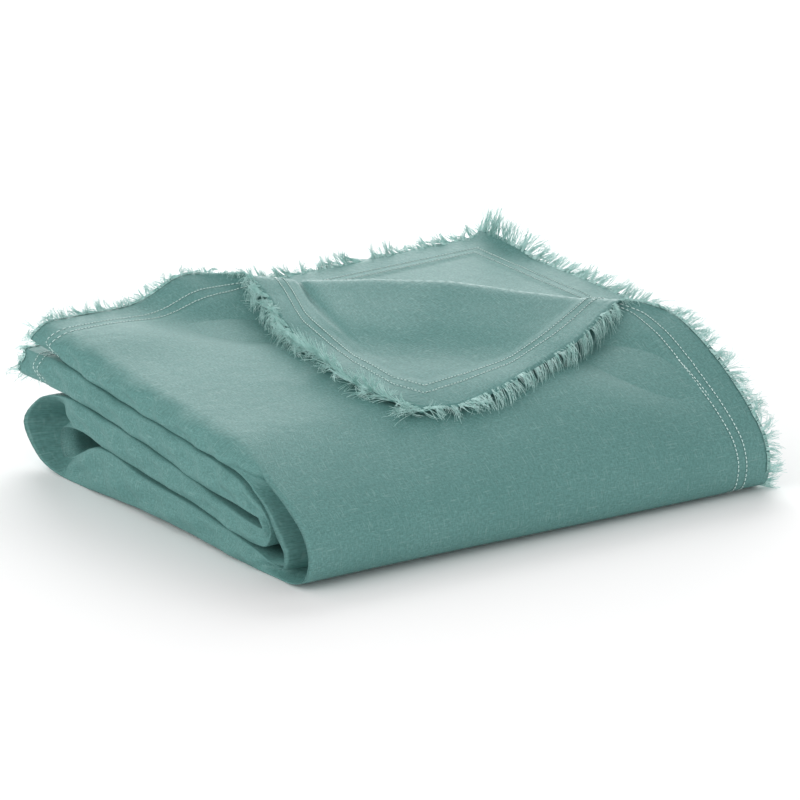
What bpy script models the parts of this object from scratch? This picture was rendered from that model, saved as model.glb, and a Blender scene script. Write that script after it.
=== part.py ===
"""Linen throw, folded four by four with one corner of the top layer turned back.

The sheet is drawn flat, carried round its folds and given its thickness. Four
frayed edges are combs of teeth that follow the same folds. Centimetres in the
tables, metres in the scene, +Z up, the front fold towards -Y.
"""

from collections import namedtuple

import bmesh
import bpy
import numpy as np
from mathutils import Vector

OBJECT_NAME = "linen_throw"
CM = 0.01

# Sizes of the opened sheet and of the folded parcel, in centimetres.
SHEET_WIDTH = 150.0
SHEET_LENGTH = 125.0
PARCEL_WIDTH = 37.5
PARCEL_CENTRE_Y = 14.6
SHEET_THICKNESS = 0.12
LAYERS_BETWEEN = 3.0

# Side folds: how deep each rounded fold is across the parcel.
OUTER_FOLD_DEPTH = 0.75
INNER_FOLD_DEPTH = 0.30
RIGHT_FOLD_DEPTH = 0.50
INNER_FOLD_INSET = 1.30
RIGHT_FOLD_INSET = 0.60
POCKET_FOLLOW = 0.55
POCKET_TIGHTENING = 0.55
FULL_POCKET = 1.5
SECTION_STEP_WEIGHT = 1.8

# Fringe combs.
FRINGE_GAP = 0.09
FRINGE_BAND = 0.45
FRINGE_LENGTH = 1.30

# Turned corner: where its fold line meets the back edge and the right edge.
TURN_BACK_X = 12.5
TURN_RIGHT_RUN = 23.0
TURN_START = -6.0
TURN_END = 20.0
TURN_STEP = 0.05
TOP_PASS_END = 33.0

# Stations along the sheet's length, back edge first. Each row gives the place
# (y, z) of the outer sheet and of the innermost sheet of the four-layer strip,
# at the left end and at the right end, and how deep the pocket between them
# is pushed in at the left.
Station = namedtuple(
    "Station",
    "part out_y out_z in_y in_z right_out_y right_out_z right_in_y right_in_z pocket",
)
STATIONS = (
    Station("top", 31.4, 10.20, 31.4, 9.05, 31.6, 10.90, 31.6, 9.95, 0.0),
    Station("top", 27.5, 9.90, 27.5, 8.35, 27.5, 10.75, 27.5, 9.65, 0.0),
    Station("top", 22.5, 9.20, 22.5, 7.65, 22.5, 10.65, 22.5, 9.35, 0.0),
    Station("top", 16.5, 8.60, 16.5, 7.05, 16.5, 10.50, 16.5, 9.00, 0.0),
    Station("top", 11.5, 8.10, 11.5, 6.60, 11.5, 10.10, 11.5, 8.60, 0.0),
    Station("top", 7.0, 7.45, 7.4, 6.10, 7.0, 9.25, 7.4, 7.90, 0.0),
    Station("front", 3.6, 6.30, 5.0, 5.45, 3.6, 7.70, 4.7, 6.70, 0.35),
    Station("front", 0.9, 5.00, 3.1, 4.30, 0.8, 5.70, 2.3, 5.10, 0.9),
    Station("front", -0.9, 3.60, 2.2, 3.10, -0.9, 3.80, 0.9, 3.60, 1.4),
    Station("front", -1.45, 2.10, 1.6, 2.10, -1.35, 2.20, 0.5, 2.30, 1.5),
    Station("front", -0.9, 0.75, 1.6, 1.35, -0.8, 0.80, 0.8, 1.35, 1.0),
    Station("front", 1.0, 0.06, 2.7, 1.10, 1.2, 0.06, 2.2, 1.15, 0.4),
    Station("floor", 5.0, 0.06, 5.0, 1.40, 5.0, 0.06, 5.0, 1.60, 0.1),
    Station("floor", 11.0, 0.06, 11.0, 2.20, 11.0, 0.06, 11.0, 2.20, 0.1),
    Station("floor", 18.0, 0.06, 18.0, 2.65, 18.0, 0.06, 18.0, 2.40, 0.1),
    Station("floor", 24.0, 0.06, 24.0, 3.20, 24.0, 0.06, 24.0, 2.30, 0.2),
    Station("floor", 28.3, 0.06, 27.2, 1.75, 28.0, 0.06, 27.2, 1.60, 0.4),
    Station("back", 31.4, 0.85, 28.3, 2.05, 30.4, 0.90, 28.6, 1.95, 1.05),
    Station("back", 33.2, 2.80, 28.6, 2.85, 31.2, 2.60, 29.0, 2.75, 1.9),
    Station("back", 31.2, 4.90, 28.0, 3.65, 30.3, 4.40, 28.4, 3.45, 1.1),
    Station("third", 28.0, 5.75, 26.3, 3.95, 28.0, 5.10, 27.0, 3.55, 0.2),
    Station("third", 23.5, 5.45, 22.5, 3.60, 24.0, 5.30, 23.0, 3.05, 0.1),
    Station("third", 17.0, 4.75, 17.0, 3.05, 17.0, 5.25, 17.0, 2.90, 0.1),
    Station("third", 11.0, 3.85, 11.0, 2.60, 11.0, 4.90, 11.0, 2.65, 0.1),
    Station("third", 6.8, 3.20, 6.5, 1.85, 6.5, 4.25, 6.2, 2.10, 0.1),
    Station("inner", 5.0, 2.95, 4.4, 1.75, 4.6, 3.95, 3.8, 2.20, 0.2),
    Station("inner", 3.9, 2.95, 3.2, 2.10, 3.3, 3.85, 2.4, 2.70, 0.3),
    Station("inner", 3.5, 3.20, 2.9, 3.00, 2.9, 4.15, 2.0, 3.60, 0.3),
    Station("inner", 3.9, 3.50, 3.6, 4.10, 3.4, 4.50, 3.1, 5.20, 0.3),
    Station("inner", 5.0, 3.65, 5.2, 4.95, 4.8, 4.70, 4.8, 6.30, 0.2),
    Station("second", 11.0, 4.15, 11.0, 6.15, 11.0, 5.25, 11.0, 8.20, 0.0),
    Station("second", 17.0, 5.05, 17.0, 6.70, 17.0, 5.60, 17.0, 8.60, 0.0),
    Station("second", 23.5, 5.80, 23.5, 7.30, 23.5, 5.70, 23.5, 8.95, 0.0),
    Station("second", 28.0, 6.20, 28.0, 7.90, 28.0, 5.60, 28.0, 9.20, 0.0),
    Station("second", 33.0, 6.00, 33.2, 7.60, 31.5, 5.60, 31.5, 9.45, 0.0),
)

# Slope of the turned corner, across its fold line: distance past the line along
# the sheet (cm) and the direction the sheet heads in (degrees).
Turn = namedtuple("Turn", "distance heading")
TURNS = (
    Turn(-6.0, 0),
    Turn(-3.5, 7),
    Turn(-2.0, 18),
    Turn(-1.1, 36),
    Turn(-0.3, 70),
    Turn(0.4, 100),
    Turn(0.95, 150),
    Turn(1.2, 192),
    Turn(1.8, 200),
    Turn(5.4, 200),
    Turn(7.6, 189),
    Turn(9.0, 180),
    Turn(17.5, 180),
)
# How the crease differs from a straight, level one: distance along it from the
# back edge, shift towards the corner (cm), share of the full height, how much
# further the flap lies than its length alone takes it, and how far it has moved
# along the crease on its way over (cm).
Bow = namedtuple("Bow", "along shift height slip drift")
BOWS = (
    Bow(0.0, 0.5, 0.85, 0.0, 0.8),
    Bow(4.5, 0.1, 0.60, -0.9, 0.7),
    Bow(9.0, -0.5, 0.65, -1.2, -0.2),
    Bow(14.0, -1.0, 0.75, -1.5, -1.0),
    Bow(18.5, -1.05, 0.76, -1.2, -0.8),
    Bow(23.3, -0.9, 0.70, -1.0, -0.4),
    Bow(28.0, 0.1, 0.75, -1.2, -1.2),
    Bow(31.4, 0.9, 1.00, -1.2, -0.4),
    Bow(34.5, 1.15, 1.00, 0.0, -1.2),
)
DRIFT_START = -1.5
SLIP_START = 1.2
SLIP_END = 6.0
TURN_CUTS = (-5.2, -3.1, -1.7, -1.0, -0.5, -0.1, 0.3, 0.7, 1.1, 1.5, 2.1, 3.9, 6.1, 8.8, 12.3)

# How many faces each run of the sheet gets, across and along.
ACROSS_FACES = (("a", 8), ("fold_ad", 5), ("d", 6), ("fold_dc", 3), ("c", 6), ("fold_cb", 3), ("b", 7))
FACES_PER_STATION = 1
SECTION_POINTS = 25

# Finishes: base colour, roughness.
LINEN_COLOUR = (0.235, 0.405, 0.375, 1.0)
FRINGE_COLOUR = (0.300, 0.480, 0.445, 1.0)
LINEN_ROUGHNESS = 0.92


def columns(*names):
    """Named columns of the station table, as an array with a row per station."""
    return np.array([[getattr(row, name) for name in names] for row in STATIONS])


LEFT_OUT = columns("out_y", "out_z")
LEFT_IN = columns("in_y", "in_z")
RIGHT_OUT = columns("right_out_y", "right_out_z")
RIGHT_IN = columns("right_in_y", "right_in_z")
POCKETS = columns("pocket")[:, 0]
PLACES = np.hstack([LEFT_OUT, LEFT_IN, RIGHT_OUT, RIGHT_IN])
MIDDLES = (LEFT_OUT + LEFT_IN) / 2
STEPS = np.linalg.norm(np.diff(MIDDLES, axis=0), axis=1)
PATH = np.concatenate([[0.0], np.cumsum(STEPS)]) * SHEET_LENGTH / STEPS.sum()


def section():
    """Strip cut across: x, share of the way from outer to inner sheet, pocket share.

    Runs from the top layer's free edge, round the left, right and inner left
    folds, to the second layer's free edge; also the distance along the sheet.
    """
    turn = np.linspace(-np.pi / 2, np.pi / 2, SECTION_POINTS)
    round_x = 1.0 - np.cos(turn)
    half = (1.0 + np.sin(turn)) / 2
    third = 1.0 / LAYERS_BETWEEN
    start = [[PARCEL_WIDTH, 0.0, 0.0, 0.0]]
    outer = np.stack([OUTER_FOLD_DEPTH * round_x, half, np.cos(turn) ** 2, round_x], 1)
    right_x = PARCEL_WIDTH - RIGHT_FOLD_INSET - RIGHT_FOLD_DEPTH * round_x
    right = np.stack([right_x, 1.0 - third * half, 0 * turn, 0 * turn], 1)
    inner_x = INNER_FOLD_INSET + INNER_FOLD_DEPTH * round_x
    inner = np.stack([inner_x, 2 * third - third * half, POCKET_FOLLOW + 0 * turn, 0 * turn], 1)
    end = [[PARCEL_WIDTH, third, 0.0, 0.0]]
    points = np.vstack([start, outer, right, inner, end])
    steps = np.hypot(np.diff(points[:, 0]), SECTION_STEP_WEIGHT * np.diff(points[:, 1]))
    along = np.concatenate([[0.0], np.cumsum(steps)]) * SHEET_WIDTH / steps.sum()
    return points, along


SECTION, ALONG = section()
RUN_ENDS = (
    ALONG[0],
    ALONG[1],
    ALONG[SECTION_POINTS],
    ALONG[SECTION_POINTS + 1],
    ALONG[2 * SECTION_POINTS],
    ALONG[2 * SECTION_POINTS + 1],
    ALONG[3 * SECTION_POINTS],
    ALONG[-1],
)
TOP_RUN_SCALE = (ALONG[1] - ALONG[0]) / (SECTION[0, 0] - SECTION[1, 0])


def cubic(stations, values, at):
    """Smooth curve through the table's rows, straight past both ends."""
    widths = np.diff(stations)
    slopes = np.diff(values, axis=0) / widths[:, None]
    tangents = np.vstack([slopes[:1], slopes])
    near = slopes[:-1] * widths[1:, None] + slopes[1:] * widths[:-1, None]
    tangents[1:-1] = near / (widths[1:] + widths[:-1])[:, None]
    index = np.clip(np.searchsorted(stations, at, side="right") - 1, 0, len(widths) - 1)
    width = widths[index]
    share = (at - stations[index]) / width
    inside = np.clip(share, 0.0, 1.0)[:, None]
    square = inside**2
    cube = inside**3
    first = (2 * cube - 3 * square + 1) * values[index]
    second = (3 * square - 2 * cube) * values[index + 1]
    leave = (cube - 2 * square + inside) * tangents[index]
    arrive = (cube - square) * tangents[index + 1]
    outside = (share[:, None] - inside) * width[:, None]
    end_slope = np.where(share[:, None] > 1.0, tangents[index + 1], tangents[index])
    return first + second + (leave + arrive) * width[:, None] + outside * end_slope


def strip(across, along):
    """Folded place (cm) of points of the flat sheet, before the corner is turned."""
    over = np.where(across < 0, -across, 0.0) + np.where(across > SHEET_WIDTH, across - SHEET_WIDTH, 0.0)
    share = np.interp(across, ALONG, SECTION[:, 1])
    pocket = np.interp(along, PATH, POCKETS)
    tight = POCKET_TIGHTENING * np.clip(pocket / FULL_POCKET, 0.0, 1.0)
    x = np.interp(across, ALONG, SECTION[:, 0]) + over
    x -= OUTER_FOLD_DEPTH * tight * np.interp(across, ALONG, SECTION[:, 3])
    x += pocket * np.interp(across, ALONG, SECTION[:, 2])
    places = cubic(PATH, PLACES, along)
    right = (x / PARCEL_WIDTH)[:, None]
    outer = places[:, 0:2] * (1 - right) + places[:, 4:6] * right
    inner = places[:, 2:4] * (1 - right) + places[:, 6:8] * right
    outer[:, 1] = np.maximum(outer[:, 1], SHEET_THICKNESS / 2)
    yz = outer + (inner - outer) * share[:, None]
    return np.column_stack([x, yz])


LINE_START = np.array([TURN_BACK_X, 0.0])
LINE = np.array([PARCEL_WIDTH, TURN_RIGHT_RUN]) - LINE_START
LINE /= np.linalg.norm(LINE)
PAST = np.array([LINE[1], -LINE[0]])
DISTANCES = np.arange(TURN_START, TURN_END, TURN_STEP)
HEADINGS = np.radians(np.interp(DISTANCES, [t.distance for t in TURNS], [t.heading for t in TURNS]))
REACH = TURN_START + TURN_STEP * np.concatenate([[0.0], np.cumsum(np.cos(HEADINGS[:-1]))])
RISE = TURN_STEP * np.concatenate([[0.0], np.cumsum(np.sin(HEADINGS[:-1]))])


def ease(share):
    """Smooth step from nought to one."""
    share = np.clip(share, 0.0, 1.0)
    return share * share * (3 - 2 * share)


def throw(across, along):
    """Folded place (cm) of points of the flat sheet, with the corner turned back."""
    x = PARCEL_WIDTH - across / np.where(across < 0, 1.0, TOP_RUN_SCALE)
    offset = np.column_stack([x, along]) - LINE_START
    down = offset @ LINE
    line_marks = [b.along for b in BOWS]
    bow = np.interp(down, line_marks, [b.shift for b in BOWS])
    height = np.interp(down, line_marks, [b.height for b in BOWS])
    slip = np.interp(down, line_marks, [b.slip for b in BOWS])
    drift = np.interp(down, line_marks, [b.drift for b in BOWS])
    past = offset @ PAST - bow
    turned = (across < ALONG[1]) & (along < TOP_PASS_END) & (past > TURN_START)
    down = down + drift * ease((past - DRIFT_START) / (SLIP_START - DRIFT_START))
    reach = np.interp(past, DISTANCES, REACH) + bow
    reach = reach + slip * ease((past - SLIP_START) / (SLIP_END - SLIP_START))
    landed = LINE_START + down[:, None] * LINE + reach[:, None] * PAST
    beyond = PARCEL_WIDTH - landed[:, 0]
    landed_across = np.where(beyond < 0, beyond, beyond * TOP_RUN_SCALE)
    places = strip(np.where(turned, landed_across, across), np.where(turned, landed[:, 1], along))
    places[:, 2] += np.where(turned, height * np.interp(past, DISTANCES, RISE), 0.0)
    return places


def across_stations(pieces=1):
    """Distances across the flat sheet where its faces meet."""
    stops = [0.0]
    for (name, count), start, end in zip(ACROSS_FACES, RUN_ENDS[:-1], RUN_ENDS[1:]):
        count = count if name.startswith("fold") else count * pieces
        stops.extend(np.linspace(start, end, count + 1)[1:])
    return np.array(stops)


def along_stations(pieces=1):
    """Distances along the flat sheet where its faces meet."""
    marks = np.arange(0, len(PATH) - 1 + 1e-9, 1.0 / (FACES_PER_STATION * pieces))
    return np.interp(marks, np.arange(len(PATH)), PATH)


def flat_grid(across, along):
    """Flat sheet drawn as a grid, one face between neighbouring stations."""
    sheet = bmesh.new()
    columns_count = len(across) - 1
    rows_count = len(along) - 1
    bmesh.ops.create_grid(sheet, x_segments=columns_count, y_segments=rows_count, size=0.5)
    for vertex in sheet.verts:
        column = round((vertex.co.x + 0.5) * columns_count)
        row = round((vertex.co.y + 0.5) * rows_count)
        vertex.co = Vector((across[column], along[row], 0.0))
    sheet.verts.ensure_lookup_table()
    return sheet


def cut_turn_lines(sheet):
    """Extra edges along the turned corner's fold, on the top layer only."""
    normal = Vector((-PAST[0] / TOP_RUN_SCALE, PAST[1], 0.0))
    scale = normal.length
    for distance in TURN_CUTS:
        on_line = (distance - (PARCEL_WIDTH - LINE_START[0]) * PAST[0]) / scale
        point = normal.normalized() * on_line
        faces = [f for f in sheet.faces if f.calc_center_median().x < ALONG[1]]
        faces = [f for f in faces if f.calc_center_median().y < TOP_PASS_END]
        edges = {e for f in faces for e in f.edges}
        verts = {v for f in faces for v in f.verts}
        geometry = list(verts) + list(edges) + faces
        bmesh.ops.bisect_plane(sheet, geom=geometry, plane_co=point, plane_no=normal)
    corners = [f for f in sheet.faces if len(f.verts) > 4]
    bmesh.ops.triangulate(sheet, faces=corners)


def fold(sheet):
    """Carry every point of the flat sheet round its folds."""
    flat = np.array([vertex.co[:] for vertex in sheet.verts])
    places = throw(flat[:, 0], flat[:, 1])
    places -= np.array([PARCEL_WIDTH / 2, PARCEL_CENTRE_Y, 0.0])
    for vertex, place in zip(sheet.verts, places):
        vertex.co = Vector(place * CM)


def material(name, colour):
    """Matt woven finish."""
    finish = bpy.data.materials.new(name)
    finish.use_nodes = True
    principled = finish.node_tree.nodes["Principled BSDF"]
    principled.inputs["Base Color"].default_value = colour
    principled.inputs["Roughness"].default_value = LINEN_ROUGHNESS
    principled.inputs["Metallic"].default_value = 0.0
    return finish


def thick_object(name, sheet, colour, collection):
    """Object of the folded sheet, with its thickness added evenly to both faces."""
    mesh = bpy.data.meshes.new(name)
    sheet.to_mesh(mesh)
    sheet.free()
    for polygon in mesh.polygons:
        polygon.use_smooth = True
    item = bpy.data.objects.new(name, mesh)
    item.data.materials.append(material(name + "_finish", colour))
    collection.objects.link(item)
    thickness = item.modifiers.new("thickness", "SOLIDIFY")
    thickness.thickness = SHEET_THICKNESS * CM
    thickness.offset = 0.0
    return item


def cloth(collection):
    """The whole sheet, hem and all."""
    sheet = flat_grid(across_stations(), along_stations())
    cut_turn_lines(sheet)
    fold(sheet)
    return thick_object("throw_cloth", sheet, LINEN_COLOUR, collection)


def comb(name, stops, side_on, outward, collection):
    """One frayed edge: a band along the edge with teeth standing out from it.

    stops are distances along the edge. side_on turns a distance along the edge
    and a distance out from it into a place on the flat sheet.
    """
    out = np.array([FRINGE_GAP, FRINGE_BAND, FRINGE_LENGTH])
    sheet = flat_grid(stops, out)
    gaps = []
    for face in sheet.faces:
        centre = face.calc_center_median()
        column = int(np.searchsorted(stops, centre.x)) - 1
        if centre.y > FRINGE_BAND and column % 2:
            gaps.append(face)
    bmesh.ops.delete(sheet, geom=gaps, context="FACES")
    for vertex in sheet.verts:
        vertex.co = Vector(side_on(vertex.co.x, vertex.co.y))
    if outward:
        bmesh.ops.reverse_faces(sheet, faces=sheet.faces)
    cut_turn_lines(sheet)
    fold(sheet)
    return thick_object(name, sheet, FRINGE_COLOUR, collection)


def side_fringe_top(run, out):
    """Past the top layer's free side edge."""
    return (-out, run, 0.0)


def side_fringe_under(run, out):
    """Past the second layer's free side edge."""
    return (SHEET_WIDTH + out, run, 0.0)


def end_fringe_top(run, out):
    """Past the end of the sheet that lies on top, at the back."""
    return (run, -out, 0.0)


def end_fringe_under(run, out):
    """Past the end of the sheet that lies inside the parcel, at the back."""
    return (run, SHEET_LENGTH + out, 0.0)


def clear_scene():
    """Remove whatever the scene starts with."""
    for item in list(bpy.data.objects):
        bpy.data.objects.remove(item)


def main():
    """Build the sheet and its four frayed edges."""
    clear_scene()
    collection = bpy.data.collections.new(OBJECT_NAME)
    bpy.context.scene.collection.children.link(collection)
    cloth(collection)
    comb("fringe_end_top", across_stations(2), end_fringe_top, True, collection)
    comb("fringe_end_under", across_stations(2), end_fringe_under, False, collection)
    comb("fringe_side_top", along_stations(2), side_fringe_top, False, collection)
    comb("fringe_side_under", along_stations(2), side_fringe_under, True, collection)


main()
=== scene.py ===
"""Looks of a folded linen throw with hemmed, frayed edges and one corner turned back.

The sheet is a surface of two parameters: the distance across the opened sheet and
the distance along it, both in centimetres. ``FoldedSheet`` carries such a point
round the folds of the parcel. The cloth, its stitches and its fringe are all laid
on that one surface. Meshes are in metres, +Z up, the front fold towards -Y.
"""

import logging
import math
from dataclasses import dataclass
from enum import Enum
from functools import cached_property
from typing import NamedTuple

import bpy
import numpy as np
from numpy.typing import NDArray
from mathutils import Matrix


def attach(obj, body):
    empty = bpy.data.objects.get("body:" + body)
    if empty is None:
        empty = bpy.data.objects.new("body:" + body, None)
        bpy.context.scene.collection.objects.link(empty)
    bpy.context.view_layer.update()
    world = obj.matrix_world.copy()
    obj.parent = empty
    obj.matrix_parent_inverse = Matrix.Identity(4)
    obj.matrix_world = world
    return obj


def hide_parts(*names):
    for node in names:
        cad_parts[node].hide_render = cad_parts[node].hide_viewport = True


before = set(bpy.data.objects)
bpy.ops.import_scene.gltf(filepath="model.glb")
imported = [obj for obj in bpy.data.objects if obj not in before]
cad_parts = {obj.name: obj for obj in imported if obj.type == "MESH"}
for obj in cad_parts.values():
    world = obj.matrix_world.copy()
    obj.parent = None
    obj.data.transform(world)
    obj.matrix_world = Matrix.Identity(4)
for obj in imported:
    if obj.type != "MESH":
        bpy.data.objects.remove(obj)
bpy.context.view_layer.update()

LOG = logging.getLogger("throw")
CM = 0.01
BODY = "root"
Array = NDArray[np.float64]
Whole = NDArray[np.int64]

# The least divisor, and the upright part of a thread's direction past which its ring is
# set out from the x axis and no longer from the z axis.
TINY = 1e-6
UPRIGHT = 0.9

# Driving sizes of the opened sheet, its hem and the parcel, in centimetres.
SHEET_WIDTH = 150.0
SHEET_LENGTH = 125.0
PARCEL_WIDTH = 37.5
HEM_DEPTH = 3.1
STITCH_ROWS = (2.05, 2.75)

# Seeds of the stitches' and the fringes' unevenness, for the first of the four edges.
STITCH_SEED = 11
FRINGE_SEED = 31


# ---------------------------------------------------------------- the fold


class Part(Enum):
    """The four passes of the strip and the folds that join them."""

    TOP = "top pass"
    FRONT = "outer fold at the front"
    FLOOR = "bottom pass"
    BACK = "fold at the back"
    THIRD = "third pass"
    INNER = "inner fold at the front"
    SECOND = "second pass"


class Station(NamedTuple):
    """One place along the sheet: where its outer and innermost layers lie.

    The first four distances are at the parcel's left side, the ``right`` ones at its
    right side. ``pocket`` is how deep the left side's loose folds are pushed in.
    """

    part: Part
    out_y: float
    out_z: float
    in_y: float
    in_z: float
    right_out_y: float
    right_out_z: float
    right_in_y: float
    right_in_z: float
    pocket: float


STATIONS: tuple[Station, ...] = (
    Station(Part.TOP, 31.4, 10.20, 31.4, 8.80, 31.6, 10.90, 31.6, 9.95, 0.0),
    Station(Part.TOP, 27.5, 9.90, 27.5, 8.22, 27.5, 10.75, 27.5, 9.65, 0.0),
    Station(Part.TOP, 22.5, 9.20, 22.5, 7.50, 22.5, 10.65, 22.5, 9.35, 0.0),
    Station(Part.TOP, 16.5, 8.60, 16.5, 6.92, 16.5, 10.50, 16.5, 9.00, 0.0),
    Station(Part.TOP, 11.5, 8.10, 11.5, 6.45, 11.5, 10.10, 11.5, 8.60, 0.0),
    Station(Part.TOP, 7.0, 7.45, 7.4, 6.10, 7.0, 9.25, 7.4, 7.90, 0.0),
    Station(Part.FRONT, 3.6, 6.30, 5.0, 5.45, 3.6, 7.70, 4.7, 6.70, 1.0),
    Station(Part.FRONT, 0.9, 5.00, 3.1, 4.30, 0.8, 5.70, 2.3, 5.10, 3.4),
    Station(Part.FRONT, -0.9, 3.60, 2.1, 3.00, -0.9, 3.80, 0.9, 3.60, 5.2),
    Station(Part.FRONT, -1.45, 2.10, 1.2, 2.00, -1.35, 2.20, 0.4, 2.30, 5.2),
    Station(Part.FRONT, -0.85, 0.70, 1.3, 1.00, -1.0, 0.70, 0.6, 1.25, 3.4),
    Station(Part.FRONT, 1.3, 0.06, 2.6, 0.95, 0.6, 0.06, 2.2, 1.15, 1.0),
    Station(Part.FLOOR, 5.0, 0.06, 5.0, 1.40, 5.0, 0.06, 5.0, 1.60, 0.1),
    Station(Part.FLOOR, 11.0, 0.28, 11.0, 2.20, 11.0, 0.06, 11.0, 2.20, 0.1),
    Station(Part.FLOOR, 18.0, 0.38, 18.0, 2.70, 18.0, 0.06, 18.0, 2.40, 0.1),
    Station(Part.FLOOR, 24.0, 0.15, 24.0, 3.25, 24.0, 0.06, 24.0, 2.30, 0.2),
    Station(Part.FLOOR, 28.3, 0.06, 27.2, 1.75, 28.0, 0.06, 27.2, 1.60, 0.6),
    Station(Part.BACK, 31.4, 0.85, 28.0, 1.90, 30.4, 0.90, 28.6, 1.95, 3.0),
    Station(Part.BACK, 33.2, 2.80, 28.3, 2.80, 31.2, 2.60, 29.0, 2.75, 4.4),
    Station(Part.BACK, 31.2, 4.90, 28.0, 3.65, 30.3, 4.40, 28.4, 3.45, 1.9),
    Station(Part.THIRD, 28.0, 5.75, 26.3, 3.95, 28.0, 5.10, 27.0, 3.55, 0.2),
    Station(Part.THIRD, 23.5, 5.52, 22.5, 3.50, 24.0, 5.30, 23.0, 3.05, 0.1),
    Station(Part.THIRD, 17.0, 4.80, 17.0, 2.98, 17.0, 5.25, 17.0, 2.90, 0.1),
    Station(Part.THIRD, 11.0, 3.88, 11.0, 2.48, 11.0, 4.90, 11.0, 2.65, 0.1),
    Station(Part.THIRD, 6.8, 3.20, 6.5, 1.85, 6.5, 4.25, 6.2, 2.10, 0.1),
    Station(Part.INNER, 5.0, 2.95, 4.4, 1.75, 4.6, 3.95, 3.8, 2.20, 0.2),
    Station(Part.INNER, 3.9, 2.95, 3.2, 2.10, 3.3, 3.85, 2.4, 2.70, 0.3),
    Station(Part.INNER, 3.5, 3.20, 2.9, 3.00, 2.9, 4.15, 2.0, 3.60, 0.3),
    Station(Part.INNER, 3.9, 3.50, 3.6, 4.10, 3.4, 4.50, 3.1, 5.20, 0.3),
    Station(Part.INNER, 5.0, 3.65, 5.2, 4.95, 4.8, 4.70, 4.8, 6.30, 0.2),
    Station(Part.SECOND, 11.0, 4.05, 11.0, 6.20, 11.0, 5.25, 11.0, 8.20, 0.0),
    Station(Part.SECOND, 17.0, 5.00, 17.0, 6.80, 17.0, 5.60, 17.0, 8.60, 0.0),
    Station(Part.SECOND, 23.5, 5.72, 23.5, 7.42, 23.5, 5.70, 23.5, 8.95, 0.0),
    Station(Part.SECOND, 28.0, 6.05, 28.0, 8.05, 28.0, 5.60, 28.0, 9.20, 0.0),
    Station(Part.SECOND, 33.0, 6.10, 33.2, 8.00, 31.5, 5.60, 31.5, 9.45, 0.0),
)


class Roll(NamedTuple):
    """How far the left fold's roundings reach in, next to its outer and inner layers."""

    outer: float
    inner: float


ROLLS: dict[Part, Roll] = {
    Part.TOP: Roll(1.6, 0.45),
    Part.FRONT: Roll(0.7, 0.5),
    Part.FLOOR: Roll(0.5, 0.4),
    Part.BACK: Roll(0.5, 0.4),
    Part.THIRD: Roll(0.45, 0.4),
    Part.INNER: Roll(0.4, 0.4),
    Part.SECOND: Roll(0.45, 0.4),
}


class Ripple(NamedTuple):
    """One wave of the left side: sin(rate * along + slant * share + phase)."""

    rate: float
    slant: float
    phase: float


RIPPLES: tuple[Ripple, ...] = (
    Ripple(0.83, 6.0, 0.0),
    Ripple(1.9, -4.0, 1.0),
)


class Turn(NamedTuple):
    """Which way the turned corner heads, in degrees, a distance past its crease.

    At 0 degrees it still lies flat, at 90 it stands up, and at 180 it lies face down.
    """

    distance: float
    heading: float


TURNS: tuple[Turn, ...] = (
    Turn(-6.0, 0.0),
    Turn(-4.0, 17.0),
    Turn(-2.2, 31.0),
    Turn(-1.1, 44.0),
    Turn(-0.3, 70.0),
    Turn(0.4, 100.0),
    Turn(0.95, 150.0),
    Turn(1.2, 192.0),
    Turn(1.8, 208.0),
    Turn(6.8, 208.0),
    Turn(8.4, 194.0),
    Turn(9.8, 179.0),
    Turn(11.0, 178.0),
    Turn(12.0, 180.0),
    Turn(17.5, 180.0),
)


class Bow(NamedTuple):
    """How the crease departs from a straight, level one, along its length.

    ``shift`` is how far it lies past the straight one, and ``height`` is the share of
    the turned curve's rise that it has. ``slip`` is how much further the flap lies than
    its length alone takes it, the cloth being stretched on the slant. ``drift`` is how
    far it has moved along the crease on its way over.
    """

    along: float
    shift: float
    height: float
    slip: float
    drift: float


BOWS: tuple[Bow, ...] = (
    Bow(0.0, 0.7, 0.40, 0.0, 1.9),
    Bow(4.5, 0.1, 0.43, -1.2, 1.1),
    Bow(8.7, -0.5, 0.52, -1.5, -0.4),
    Bow(13.8, -1.0, 0.68, -1.8, -1.3),
    Bow(16.6, -1.05, 0.70, -1.9, -1.1),
    Bow(18.4, -1.05, 0.71, -0.8, -0.6),
    Bow(20.5, -1.0, 0.65, -0.9, -0.4),
    Bow(23.3, -0.9, 0.56, -0.9, -0.4),
    Bow(27.9, 0.1, 0.38, -1.8, -1.2),
    Bow(31.4, 1.1, 0.28, -2.4, -2.0),
    Bow(34.5, 2.0, 0.28, 0.0, -2.8),
)


class Swell(NamedTuple):
    """A soft rise of the sheet off its layer or, where negative, a dip.

    ``across`` and ``along`` are where its middle lies, and ``turn`` is the angle in
    degrees of its ``reach_across`` on the opened sheet.
    """

    across: float
    along: float
    reach_across: float
    reach_along: float
    turn: float
    rise: float


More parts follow.
